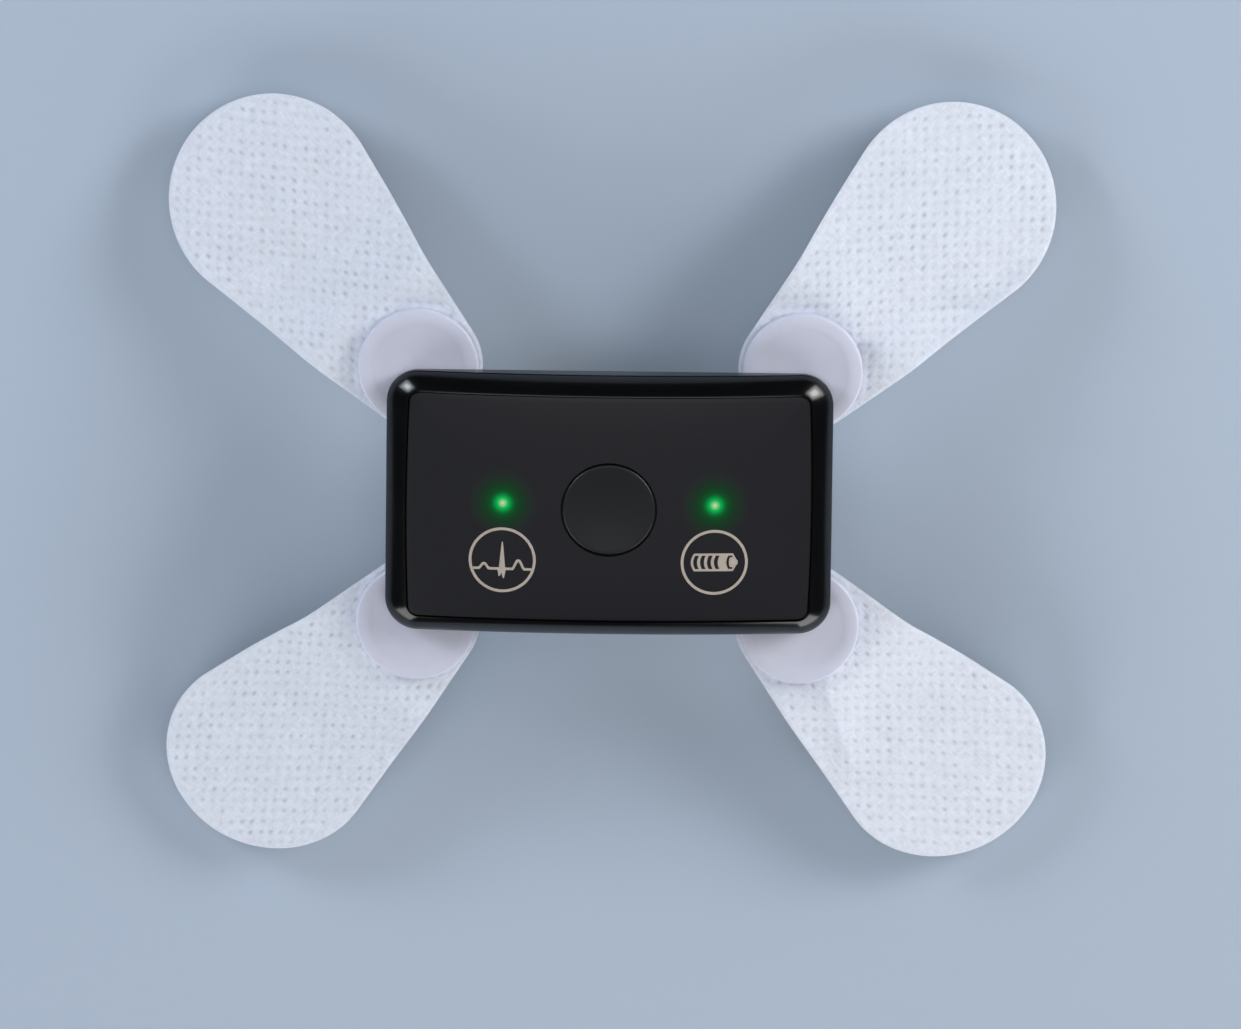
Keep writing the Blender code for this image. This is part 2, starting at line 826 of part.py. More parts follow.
def strip_mesh(name, stations, top, thickness):
    """A sheet that follows the droop, from half widths at places along the pattern."""
    vertices = []
    rows = []
    for along, half in stations:
        outwards, depth = drooped(along)
        x = stud_offset + outwards
        row = []
        sides = (0.0,) if half < least_half_width else (-half, half)
        for level in (top - depth, top - thickness - depth):
            for side in sides:
                row.append(len(vertices))
                vertices.append((x, side, level))
        rows.append(row if len(row) == 4 else [row[0], row[0], row[1], row[1]])
    faces = []
    for here, there in zip(rows, rows[1:]):
        for first, second in ((0, 1), (1, 3), (3, 2), (2, 0)):
            face = list(dict.fromkeys([here[first], here[second], there[second], there[first]]))
            if len(face) > 2:
                faces.append(face)
    for row in (rows[0], rows[-1]):
        face = list(dict.fromkeys([row[0], row[1], row[3], row[2]]))
        if len(face) > 2:
            faces.append(face)
    return mesh_from(name, vertices, faces)


def round_stations(centre, radius, steps):
    """A disc as places along the pattern with half widths."""
    stations = []
    for step in range(steps + 1):
        angle = math.pi * step / steps
        stations.append((centre - radius * math.cos(angle), radius * math.sin(angle)))
    return stations


def conductor_stations():
    """A ring end round the stud, a track, and a round pad under the gel."""
    stud_along = -stud_offset
    half = conductor_width / 2
    meet = math.asin(half / conductor_ring_radius)
    leave = math.asin(half / conductor_pad_radius)
    stations = []
    for step in range(narrow_arc_steps + 1):
        angle = (math.pi - meet) * step / narrow_arc_steps
        stations.append((stud_along - conductor_ring_radius * math.cos(angle),
                         conductor_ring_radius * math.sin(angle)))
    start = stations[-1][0]
    end = patch_reach - conductor_pad_radius * math.cos(leave)
    for step in range(1, track_steps):
        stations.append((start + (end - start) * step / track_steps, half))
    for step in range(narrow_arc_steps + 1):
        angle = leave + (math.pi - leave) * step / narrow_arc_steps
        stations.append((patch_reach - conductor_pad_radius * math.cos(angle),
                         conductor_pad_radius * math.sin(angle)))
    return stations


def make_fabric(name, holder, materials):
    """The non-woven carrier of the patch."""
    mesh = strip_mesh("fabric", pear_stations(0.0), fabric_top, fabric_thickness)
    fabric = add_object("fabric_patch_" + name, mesh, materials["fabric"], holder)
    low = fabric_top - fabric_thickness - cut_overrun
    hole = drum_profile(post_hole_radius, low, fabric_top + cut_overrun)
    cut(fabric, turned_mesh("hole", hole, small_round_steps))
    return fabric


def make_adhesive(name, holder, materials):
    """The skin adhesive layer, open round the eyelet, the track and the gel."""
    top = fabric_top - fabric_thickness - film_gap
    mesh = strip_mesh("adhesive", pear_stations(adhesive_inset), top, adhesive_thickness)
    adhesive = add_object("skin_adhesive_" + name, mesh, materials["adhesive"], holder)
    tip_depth = drooped(patch_reach + gel_radius)[1]
    low = top - adhesive_thickness - tip_depth - cut_overrun
    high = top + cut_overrun
    ring = drum_profile(conductor_ring_radius + fit_gap + film_gap, low, high)
    cut(adhesive, turned_mesh("ring_opening", ring, small_round_steps))
    gel_place = stud_offset + drooped(patch_reach)[0]
    window = turned_mesh("gel_opening", drum_profile(gel_radius + fit_gap, low, high), disc_steps)
    cut(adhesive, moved(window, (gel_place, 0.0)))
    track = (gel_place, conductor_width + 2 * fit_gap, high - low)
    cut(adhesive, box_mesh("track_opening", track, (gel_place / 2, 0.0, (high + low) / 2)))
    return adhesive


def make_conductor(name, holder, materials):
    """The silver track from the stud to the gel."""
    top = fabric_top - fabric_thickness - film_gap
    mesh = strip_mesh("conductor", conductor_stations(), top, conductor_thickness)
    track = add_object("conductor_track_" + name, mesh, materials["silver"], holder)
    hole = drum_profile(post_hole_radius, top - cut_overrun, top + cut_overrun)
    cut(track, turned_mesh("hole", hole, small_round_steps))
    return track


def make_gel(name, holder, materials):
    """The round gel pad below the track's end."""
    top = fabric_top - fabric_thickness - 2 * film_gap - conductor_thickness
    stations = round_stations(patch_reach, gel_radius, wide_arc_steps)
    mesh = strip_mesh("gel", stations, top, gel_thickness)
    return add_object("gel_pad_" + name, mesh, materials["gel"], holder)


def make_disc(name, holder, materials):
    """The grey snap disc: a rounded rim, a low step and a seat for the stud."""
    top_edge = disc_radius - disc_round
    step_radius = disc_radius - disc_step_width
    low_top = disc_top - disc_step_height
    profile = [(0.0, disc_bottom)]
    for turn_step in range(round_steps + 2):
        turn = math.pi * (turn_step / (round_steps + 1) - 0.5)
        height = (disc_bottom + low_top) / 2 + math.sin(turn) * (low_top - disc_bottom) / 2
        profile.append((top_edge + disc_round * math.cos(turn), height))
    profile += [(step_radius + disc_step_height, low_top), (step_radius, disc_top),
                (0.0, disc_top)]
    mesh = turned_mesh("disc", profile, disc_steps)
    disc = add_object("snap_disc_" + name, moved(mesh, (stud_offset, 0.0)),
                      materials["disc"], holder)
    seat = disc_top - stud_flange_thickness - 2 * film_gap
    opening = [
        (0.0, disc_bottom - cut_overrun),
        (post_hole_radius, disc_bottom - cut_overrun),
        (post_hole_radius, seat),
        (stud_flange_radius + film_gap, seat),
        (stud_flange_radius + film_gap, disc_top + cut_overrun),
        (0.0, disc_top + cut_overrun),
    ]
    cut(disc, turned_mesh("seat", opening, small_round_steps))
    return disc


def make_stud(name, holder, materials):
    """The snap stud: a flange in the disc's seat, a neck and a rounded hollow head."""
    flange_bottom = disc_top - stud_flange_thickness - film_gap
    flange_top = disc_top - film_gap
    bulge = stud_head_height / 2
    middle = stud_top - bulge
    profile = [
        (stud_bore_radius, flange_bottom),
        (stud_flange_radius, flange_bottom),
        (stud_flange_radius, flange_top),
        (stud_neck_radius, flange_top),
    ]
    for turn_step in range(round_steps + 2):
        turn = math.pi * (turn_step / (round_steps + 1) - 0.5)
        out = stud_head_radius - stud_neck_radius
        profile.append((stud_neck_radius + out * math.cos(turn), middle + bulge * math.sin(turn)))
    profile += [
        (0.0, stud_top),
        (0.0, stud_top - stud_cap_thickness),
        (stud_bore_radius, stud_top - stud_cap_thickness),
    ]
    mesh = turned_mesh("stud", profile, small_round_steps)
    return add_object("snap_stud_" + name, mesh, materials["steel"], holder)


def make_eyelet(name, holder, materials):
    """The eyelet below the fabric, whose post is riveted up into the stud."""
    top = fabric_top - fabric_thickness - 2 * film_gap - conductor_thickness
    post_top = stud_top - stud_cap_thickness - fit_gap
    profile = [
        (0.0, top - eyelet_flange_thickness),
        (eyelet_flange_radius, top - eyelet_flange_thickness),
        (eyelet_flange_radius, top),
        (eyelet_post_radius, top),
        (eyelet_post_radius, post_top),
        (0.0, post_top),
    ]
    return add_object("eyelet_" + name, turned_mesh("eyelet", profile, small_round_steps),
                      materials["steel"], holder)


def make_electrode(name, sides, materials):
    """One electrode: stud and eyelet pull off together, the rest swivels about them."""
    side_x, side_y = sides
    angle = patch_angle if side_x > 0 else math.pi - patch_angle
    place = (side_x * stud_x, side_y * stud_y)
    pull = make_holder("pull_" + name, place, side_y * angle)
    swivel = make_holder("swivel_" + name, (0.0, 0.0), 0.0, pull)
    make_stud(name, pull, materials)
    make_eyelet(name, pull, materials)
    make_disc(name, swivel, materials)
    make_fabric(name, swivel, materials)
    make_adhesive(name, swivel, materials)
    make_conductor(name, swivel, materials)
    make_gel(name, swivel, materials)
    make_socket(name, place, materials)


def main():
    clear_scene()
    materials = make_materials()
    make_front_housing(materials)
    make_front_panel(materials)
    make_rear_cover(materials)
    make_gasket(materials)
    make_board(materials)
    make_cell(materials)
    make_board_parts(materials)
    make_event_key(materials)
    make_light_guides(materials)
    make_screws(materials)
    for name, sides in corners.items():
        make_electrode(name, sides, materials)


main()
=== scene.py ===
"""Patch Holter monitor: fine surfaces and finishes for a flat ECG recorder on four electrodes.

The file is laid out as a Blender add-on. Run as a script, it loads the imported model, makes each
group of pieces with its own operator and sets the stage. X runs along the recorder, Y across
it and Z up. An electrode is worked out in its own frame: the stud's axis is its origin, "along"
runs outwards from the centre of its disc, and "across" is square to that.
"""

import json
import math

import bmesh
import bpy
import numpy as np
from bpy.props import FloatProperty, FloatVectorProperty, PointerProperty
from mathutils import Matrix, Vector


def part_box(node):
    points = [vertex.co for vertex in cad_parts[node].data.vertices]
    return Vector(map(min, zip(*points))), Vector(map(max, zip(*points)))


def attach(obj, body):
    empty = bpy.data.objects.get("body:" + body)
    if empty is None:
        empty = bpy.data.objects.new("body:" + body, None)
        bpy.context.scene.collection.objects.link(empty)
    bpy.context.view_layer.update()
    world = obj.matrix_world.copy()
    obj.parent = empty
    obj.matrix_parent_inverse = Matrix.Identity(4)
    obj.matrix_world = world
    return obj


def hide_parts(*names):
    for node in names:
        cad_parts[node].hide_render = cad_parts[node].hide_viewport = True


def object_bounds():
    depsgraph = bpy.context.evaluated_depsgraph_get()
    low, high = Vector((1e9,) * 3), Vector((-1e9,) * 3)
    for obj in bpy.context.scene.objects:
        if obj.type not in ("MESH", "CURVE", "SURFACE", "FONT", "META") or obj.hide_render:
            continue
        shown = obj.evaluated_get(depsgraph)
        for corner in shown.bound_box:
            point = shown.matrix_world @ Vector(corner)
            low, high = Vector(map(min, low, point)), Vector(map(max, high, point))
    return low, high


bl_info = {
    "name": "Patch Holter Monitor",
    "version": (1, 0, 0),
    "blender": (4, 5, 0),
    "location": "View3D > Sidebar > Holter",
    "description": "Makes the surfaces and finishes of an ECG recorder and its electrodes",
    "category": "Object",
}

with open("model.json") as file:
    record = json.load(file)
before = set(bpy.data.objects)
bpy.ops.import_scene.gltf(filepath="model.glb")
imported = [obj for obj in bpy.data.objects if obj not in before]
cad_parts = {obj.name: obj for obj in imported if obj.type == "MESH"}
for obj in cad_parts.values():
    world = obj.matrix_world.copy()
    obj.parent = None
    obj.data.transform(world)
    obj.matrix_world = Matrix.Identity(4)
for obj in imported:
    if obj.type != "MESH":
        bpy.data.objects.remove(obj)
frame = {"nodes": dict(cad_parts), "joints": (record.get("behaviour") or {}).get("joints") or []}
cad_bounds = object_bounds()

MM = 0.001


def round_node(name):
    """Place, radius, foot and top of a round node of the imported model, read from its box."""
    low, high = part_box(name)
    return ((low.x + high.x) / 2, (low.y + high.y) / 2), (high.x - low.x) / 2, low.z, high.z


# Clearances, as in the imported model
fit_gap = 0.30 * MM
film_gap = 0.15 * MM
overrun = 1.0 * MM

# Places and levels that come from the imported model
cover_low, cover_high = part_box("rear_cover")
panel_low, panel_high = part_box("front_panel")
case_length = cover_high.x - cover_low.x
case_width = cover_high.y - cover_low.y
rear_level = cover_low.z
rim_level = cover_high.z + fit_gap / 2
face_level = panel_high.z

key_flange_radius, key_foot, key_top = round_node("event_button")[1:]
(lamp_x, lamp_y), guide_flange_radius, guide_foot, guide_tip = round_node("light_guide_battery")
(screw_x, screw_y), screw_head_radius, screw_foot, screw_top = round_node("cover_screw_upper_right")
lamp_places = [(side * lamp_x, lamp_y) for side in (-1, 1)]
screw_places = [(side_x * screw_x, side_y * screw_y) for side_x in (1, -1) for side_y in (1, -1)]

corner_names = ("upper_right", "upper_left", "lower_left", "lower_right")
disc_place = round_node("snap_disc_upper_right")[0]
stud_place = round_node("snap_stud_upper_right")[0]
patch_turn = math.atan2(disc_place[1] - stud_place[1], disc_place[0] - stud_place[0])

# Sizes that several pieces share
guide_step = 0.6 * MM
guide_radius = guide_flange_radius - guide_step
guide_clearance = 0.02 * MM
screw_head_height = 0.45 * MM
screw_shank_radius = 0.6 * MM
eyelet_radius = 3.0 * MM
post_hole_radius = 1.25 * MM

# How finely the surfaces are divided
corner_steps = 20
end_steps = 12
side_steps = 120
bezel_steps = 20
fillet_steps = 5
fine_turn_steps = 96
small_turn_steps = 48
patch_rows = 281
patch_columns = 151
layer_rows = 91
layer_columns = 49
smooth_angle = math.radians(35)
weld_size = 0.0001 * MM


# Settings that a user would change

def linear(code):
    """An sRGB hex colour as linear red, green and blue."""
    value = np.array([int(code[place:place + 2], 16) for place in (1, 3, 5)]) / 255
    return tuple(np.where(value <= 0.04045, value / 12.92, ((value + 0.055) / 1.055) ** 2.4))


def length(name, description, millimetres):
    """A length that shows in the sidebar."""
    return FloatProperty(name=name, description=description, default=millimetres * MM, min=0.0,
                         unit="LENGTH", precision=5)


def angle(name, description, degrees):
    """An angle that shows in the sidebar."""
    return FloatProperty(name=name, description=description, default=math.radians(degrees),
                         subtype="ANGLE")


def colour(name, description, code):
    """A colour that shows in the sidebar, given as sRGB hex."""
    return FloatVectorProperty(name=name, description=description, default=linear(code),
                               subtype="COLOR", size=3, min=0.0, max=1.0)


class RecorderSizes(bpy.types.PropertyGroup):
    """Sizes of the case, its panel, the key and the print."""

    case_corner: length("Case corner", "Radius of the case's corners", 5.2)
    rim_sag: length("Seam sag", "Fall of the seam from the middle to the ends", 2.35)
    seam_bevel: length("Seam bevel", "Bevel on both sides of the seam", 0.25)
    bezel_fullness: FloatProperty(
        name="Bezel fullness", default=1.3, min=1.0, max=4.0,
        description="Exponent of the bezel's section: 1 is a plain slope and 2 a quarter ellipse")
    rear_round: length("Rear rounding", "Rounding of the back's edge", 1.1)
    outline_wall: length("Outer wall", "Wall outside the gasket", 1.3)
    inner_step: length("Inner step", "Width of the gasket's shoulder", 1.3)
    shoulder_depth: length("Shoulder depth", "Depth of the gasket's shoulder", 0.85)
    floor_thickness: length("Floor thickness", "Thickness of the back", 0.9)
    panel_corner: length("Panel corner", "Radius of the panel's corners", 1.8)
    panel_bulge: length("Panel bulge", "Bulge of the panel's short ends", 0.44)
    panel_sag: length("Panel sag", "Fall of the panel from the middle to the ends", 2.4)
    panel_thickness: length("Panel thickness", "Thickness of the panel", 1.0)
    panel_edge: length("Panel edge", "Rounding of the panel's upper edge", 0.12)
    panel_roll: length("Panel roll", "How far the face falls towards its edge", 0.22)
    panel_roll_width: length("Panel roll width", "Width of that fall", 8.0)
    ledge_width: length("Ledge width", "Width of the panel's ledge", 1.5)
    ledge_thickness: length("Ledge thickness", "Thickness of the panel's ledge", 0.8)
    key_edge: length("Key edge", "Rounding of the event key's edge", 0.35)
    key_dish: length("Key dish", "Depth of the event key's dish", 0.35)
    key_flange_width: length("Key flange", "Width of the key's hidden flange", 0.8)
    key_flange_thickness: length("Key flange thickness", "Thickness of that flange", 0.5)
    ink_thickness: length("Ink thickness", "Height of the printed symbols", 0.03)
    symbol_y: length("Symbol place", "Distance of the symbols below the middle", 8.68)
    symbol_radius: length("Symbol radius", "Middle radius of the symbols' rings", 5.19)
    symbol_stroke: length("Symbol stroke", "Width of the symbols' rings", 0.45)


class PatchSizes(bpy.types.PropertyGroup):
    """Sizes of the electrodes and of the embossed fabric."""

    narrow_radius: length("Narrow end", "Radius at the disc's end", 10.4)
    wide_radius: length("Wide end", "Radius at the far end", 17.1)
    reach: length("Reach", "Distance between the centres of both ends", 36.0)
    fabric_thickness: length("Fabric", "Thickness of the non-woven", 0.5)
    adhesive_thickness: length("Adhesive", "Thickness of the skin adhesive", 0.6)
    adhesive_inset: length("Adhesive inset", "Distance of the adhesive from the edge", 0.5)
    bend_start: length("Bend start", "Where the patch starts to droop", 8.0)
    bend_end: length("Bend end", "Where its slope is greatest", 16.0)
    settle_end: length("Settle end", "Where it has settled to the lobe's slope", 28.0)
    bend_slope: angle("Bend slope", "Greatest slope of the patch", 27.0)
    lobe_slope: angle("Lobe slope", "Slope of the outer lobe", 13.0)
    dot_length: length("Dot length", "Length of a dot along the patch", 0.88)
    dot_width: length("Dot width", "Width of a dot across the patch", 0.58)
    dot_depth: length("Dot depth", "Depth of a dot", 0.14)
    hollow_depth: length("Hollow depth", "Fall from the cloth's pillows to its dots", 0.07)
    edge_press: length("Edge press", "How far the cut edge is pressed down", 0.14)
    disc_round: length("Disc rounding", "Rounding of the disc's rim", 0.45)
    disc_slope_width: length("Disc slope", "Width of the sloping band round the disc", 1.9)
    disc_slope_drop: length("Disc slope drop", "Fall of that band", 0.24)
    conductor_thickness: length("Track", "Thickness of the printed track", 0.25)
    conductor_width: length("Track width", "Width of the printed track", 3.0)
    conductor_pad: length("Track pad", "Radius of the pad under the gel", 5.0)
    gel_radius: length("Gel radius", "Radius of the gel pad", 6.5)
    gel_thickness: length("Gel thickness", "Thickness of the gel pad", 0.65)


class FinishColours(bpy.types.PropertyGroup):
    """Colours of every finish."""

    bezel: colour("Bezel", "Polished black housing", "#050506")
    panel: colour("Panel", "Satin smoke panel", "#131319")
    key: colour("Key", "Satin event key", "#141519")
    ink: colour("Ink", "Printed symbols", "#b8aca0")
    rear: colour("Rear cover", "Moulded black cover", "#0b0b0d")
    rubber: colour("Gasket", "Black rubber", "#161617")
    # The two lamp colours also paint the glow that the panel emits round each guide
    lamp_core: colour("Lamp core", "Middle of a lit lamp", "#b9e8a8")
    lamp: colour("Lamp", "Green round the core", "#06a049")
    window: colour("Lamp window", "Dark, clear panel over a lamp", "#050b08")
    disc: colour("Disc", "Snap disc", "#d7d9e9")
    fabric: colour("Fabric", "Non-woven", "#e8edf9")
    # Pressed dots: the film's own grey, darkened further as painted shade of their hollows
    pressed: colour("Pressed dots", "Bonded dots of the non-woven", "#b3bbca")
    adhesive: colour("Adhesive", "Skin adhesive", "#d8d2c6")
    gel: colour("Gel", "Hydrogel", "#a9cdd2")
    silver: colour("Silver ink", "Printed track", "#b4b4b6")
    nickel: colour("Nickel", "Plated snaps and screws", "#c9c6bd")
    board: colour("Board", "Solder mask", "#0b5230")
    copper: colour("Tracks", "Copper under the solder mask", "#1c7a48")
    epoxy: colour("Chips", "Moulded epoxy", "#18181a")
    foil: colour("Cell", "Laminated foil", "#bfc1c6")
    phosphor: colour("Lamp body", "Lamp on the board", "#c9e8b4")
    floor: colour("Floor", "Studio floor", "#b3c1d3")
    wall: colour("Wall", "Studio wall", "#c6d0de")


# Surfaces as whole arrays

def smoothstep(value, start, end):
    """Rises from 0 at start to 1 at end as 3t^2 - 2t^3."""
    share = np.clip((value - start) / (end - start), 0.0, 1.0)
    return share * share * (3.0 - 2.0 * share)


def blend(first, second, share):
    """A mean of two values, in which the second has a share."""
    return first * (1.0 - share) + second * share


def grid_cells(rows, columns, closed_rows=False, closed_columns=False):
    """The four corners of each cell of a grid of points that are numbered row by row."""
    row = np.arange(rows if closed_rows else rows - 1)[:, None]
    column = np.arange(columns if closed_columns else columns - 1)[None, :]
    row_after = (row + 1) % rows
    column_after = (column + 1) % columns
    return np.stack([row * columns + column, row * columns + column_after,
                     row_after * columns + column_after, row_after * columns + column], -1)


def welded(points, cells):
    """Merges points that coincide and drops points that no cell uses."""
    keys = np.round(points / weld_size)
    first, index = np.unique(keys, axis=0, return_index=True, return_inverse=True)[1:]
    used, cells = np.unique(index.reshape(-1)[cells], return_inverse=True)
    return points[first[used]], cells.reshape(-1, 4), first[used]


def true_faces(cells):
    """Cells as faces: one repeated corner makes a triangle, and more repeats make no face."""
    repeated = cells == np.roll(cells, -1, axis=1)
    count = repeated.sum(axis=1)
    corners = cells[count == 1]
    triangles = corners[~repeated[count == 1]].reshape(-1, 3)
    return cells[count == 0].tolist() + triangles.tolist()


def closed_mesh(name, points, faces):
    """A closed mesh, with its faces turned outwards."""
    mesh = bpy.data.meshes.new(name)
    mesh.from_pydata(points.tolist(), [], faces)
    shell = bmesh.new()
    shell.from_mesh(mesh)
    bmesh.ops.recalc_face_normals(shell, faces=shell.faces)
    shell.to_mesh(mesh)
    shell.free()
    mesh.update()
    return mesh


def turned(name, profile, steps, centre=(0.0, 0.0)):
    """A surface of revolution: x = r cos t, y = r sin t, z = h for each (r, h) of the profile.

    A profile that starts on the axis ends there too, and any other returns to its start.
    """
    profile = np.array(profile)
    turn = np.linspace(0.0, 2.0 * math.pi, steps, endpoint=False)
    points = np.stack([
        centre[0] + profile[:, :1] * np.cos(turn),
        centre[1] + profile[:, :1] * np.sin(turn),
        np.repeat(profile[:, 1:], steps, axis=1),
    ], -1).reshape(-1, 3)
    cells = grid_cells(len(profile), steps, profile[0, 0] > 0.0, True).reshape(-1, 4)
    points, cells = welded(points, cells)[:2]
    return closed_mesh(name, points, true_faces(cells))


def soft_profile(corners):
    """A profile from (radius, height, fillet) corners, each rounded by an arc tangent to its sides.

    The arc turns about a centre on the corner's bisector, from one tangent point to the other.
    """
    corners = np.array(corners)
    points = []
    for index, (radius, height, fillet) in enumerate(corners):
        here = np.array([radius, height])
        before = corners[index - 1, :2] - here
        after = corners[(index + 1) % len(corners), :2] - here
        if fillet == 0.0:
            points.append(here)
            continue
        before_length, after_length = np.linalg.norm(before), np.linalg.norm(after)
        before, after = before / before_length, after / after_length
        half = 0.5 * math.acos(np.clip(before @ after, -1.0, 1.0))
        reach = min(fillet / math.tan(half), 0.5 * before_length, 0.5 * after_length)
        centre = here + (before + after) / np.linalg.norm(before + after) * reach / math.cos(half)
        arm = here + before * reach - centre
        other_arm = here + after * reach - centre
        sweep = math.pi - 2.0 * half
        for share in np.linspace(0.0, 1.0, fillet_steps + 1):
            mixed = arm * math.sin((1.0 - share) * sweep) + other_arm * math.sin(share * sweep)
            points.append(centre + mixed / math.sin(sweep))
    return points


def bars(stages, places=((0.0, 0.0),), steps=small_turn_steps):
    """Round bars at some places. Each stage of a bar has a radius, a foot and a top."""
    profile = [(0.0, stages[0][1])]
    for radius, foot, top in stages:
        profile += [(radius, foot), (radius, top)]
    profile.append((0.0, stages[-1][2]))
    return [turned("bar", profile, steps, place) for place in places]


def block(name, low, high):
    """A box between two corners."""
    share = np.array([(x, y, z) for x in (0, 1) for y in (0, 1) for z in (0, 1)])
    points = np.array(low) + share * (np.array(high) - np.array(low))
    faces = [[0, 1, 3, 2], [4, 6, 7, 5], [0, 4, 5, 1], [2, 3, 7, 6], [0, 2, 6, 4], [1, 5, 7, 3]]
    return closed_mesh(name, points, faces)


def slab(name, plan, top, bottom, keep=None, closed_rows=False):
    """A thin closed body over a grid of plan points, of which some cells may be left out.

    The upper face is (x, y, top) and the lower one (x, y, bottom). A wall stands on each edge
    of the kept cells that no neighbour shares. Returns the mesh and the plan points it kept.
    """
    rows, columns = plan.shape[:2]
    cells = grid_cells(rows, columns, closed_rows)
    cells = cells.reshape(-1, 4) if keep is None else cells[keep]
    flat, cells, kept = welded(plan.reshape(-1, 2), cells)
    count = len(flat)
    edges = np.stack([cells, np.roll(cells, -1, axis=1)], -1).reshape(-1, 2)
    edges = edges[edges[:, 0] != edges[:, 1]]
    back = edges[:, 1] * count + edges[:, 0]
    rim = edges[~np.isin(back, edges[:, 0] * count + edges[:, 1])]
    walls = np.stack([rim[:, 1], rim[:, 0], rim[:, 0] + count, rim[:, 1] + count], -1)
    points = np.concatenate([
        np.column_stack([flat, top.reshape(-1)[kept]]),
        np.column_stack([flat, bottom.reshape(-1)[kept]]),
    ])
    faces = true_faces(np.concatenate([cells, cells[:, ::-1] + count, walls]))
    return closed_mesh(name, points, faces), kept


def loft(name, rings, caps):
    """Joins rings of points by quads: round to the first ring, or closed by two caps.

    A flat cap is one face. An arched cap is made of strips between mirrored points.
    """
    rings = np.array(rings)
    rows, columns = rings.shape[:2]
    cells = grid_cells(rows, columns, caps == "none", True).reshape(-1, 4)
    if caps == "arched":
        step = np.arange(columns // 2)
        strips = np.stack([step, step + 1, columns - step - 1, (columns - step) % columns], -1)
        cells = np.concatenate([cells, strips[:, ::-1], strips + (rows - 1) * columns])
    faces = true_faces(cells)
    if caps == "flat":
        ring = np.arange(columns)
        faces += [ring[::-1].tolist(), (ring + (rows - 1) * columns).tolist()]
    return closed_mesh(name, rings.reshape(-1, 3), faces)


# Objects

def link(name, data):
    """A new object in the scene that holds a mesh, a light or a camera."""
    thing = bpy.data.objects.new(name, data)
    bpy.context.collection.objects.link(thing)
    return thing


def add_piece(name, mesh, material, body, slot, *replaced):
    """Links a mesh as a piece that rides on a body and may stand for nodes of the model."""
    piece = link(name, mesh)
    mesh.materials.clear()
    mesh.materials.append(material)
    mesh.shade_smooth()
    mesh.set_sharp_from_angle(angle=smooth_angle)
    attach(piece, body)
    if replaced:
        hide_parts(*replaced)


def carve(mesh, tools, operation="DIFFERENCE"):
    """A mesh with tool meshes cut out of it, or joined to it."""
    target = link("target", mesh)
    helpers = [link("tool", tool) for tool in tools]
    for helper in helpers:
        boolean = target.modifiers.new("carve", "BOOLEAN")
        boolean.operation, boolean.solver, boolean.object = operation, "EXACT", helper
    evaluated = target.evaluated_get(bpy.context.evaluated_depsgraph_get())
    result = bpy.data.meshes.new_from_object(evaluated)
    result.name = mesh.name
    for helper in [target, *helpers]:
        bpy.data.objects.remove(helper, do_unlink=True)
    return result


# Finishes

def add_node(tree, kind, settings=None, links=None):
    """Adds a shader node, sets its properties and input values, and links its inputs.

    A key in small letters is a property, and any other key is an input.
    """
    node = tree.nodes.new("ShaderNode" + kind)
    for key, value in (settings or {}).items():
        if isinstance(key, str) and key.islower():
            setattr(node, key, value)
        else:
            node.inputs[key].default_value = value
    for key, source in (links or {}).items():
        tree.links.new(source, node.inputs[key])
    return node


def shaded(base, factor):
    """A colour made lighter or darker by a factor, with its alpha."""
    return (*(min(1.0, channel * factor) for channel in base), 1.0)


class Finish:
    """A material with one Principled shader and textures on Object coordinates."""

    def __init__(self, name, base, settings):
        self.base = base
        self.material = bpy.data.materials.new(name)
        self.material.use_nodes = True
        self.tree = self.material.node_tree
        self.shader = self.tree.nodes["Principled BSDF"]
        for socket, value in {"Base Color": shaded(base, 1.0), **settings}.items():
            self.shader.inputs[socket].default_value = value
        self.place = self.add("TexCoord").outputs["Object"]

    def add(self, kind, settings=None, links=None):
        """A node of this finish."""
        return add_node(self.tree, kind, settings, links)

    def feed(self, socket, source):
        """Links an output to one of the shader's sockets."""
        self.tree.links.new(source, self.shader.inputs[socket])

    def texture(self, kind, grain, settings, vector=None):
        """Main output of a texture whose scale gives its grain a real size."""
        settings = {"Scale": 1 / grain, **settings}
        return self.add("Tex" + kind, settings, {"Vector": vector or self.place}).outputs[0]

    def shade(self, factor, low, high):
        """Lets the base colour run from one shade of itself to another."""
        ends = {"data_type": "RGBA", 6: shaded(self.base, low), 7: shaded(self.base, high)}
        colour = self.add("Mix", ends, {0: factor}).outputs[2]
        self.feed("Base Color", colour)
        return colour

    def roughen(self, factor, low, high):
        """Lets the roughness run from one value to another."""
        span = self.add("MapRange", {"To Min": low, "To Max": high}, {"Value": factor})
        self.feed("Roughness", span.outputs["Result"])

    def emboss(self, height, distance, strength=1.0):
        """Lets a height between 0 and 1 raise the surface by a real distance."""
        bump = self.add("Bump", {"Strength": strength, "Distance": distance}, {"Height": height})
        self.feed("Normal", bump.outputs["Normal"])


def polished_pc_abs(colours):
    """Piano-black moulded PC/ABS, polished: deep black with sharp, slightly wavy reflections."""
    finish = Finish("polished_black_pc_abs", colours.bezel, {"IOR": 1.53})
    wipe = finish.texture("Noise", 9 * MM, {"Detail": 4.0})
    peel = finish.texture("Noise", 1.6 * MM, {"Detail": 1.0})
    finish.roughen(wipe, 0.12, 0.22)
    finish.shade(wipe, 1.0, 1.5)
    finish.emboss(peel, 0.004 * MM)
    return finish.material


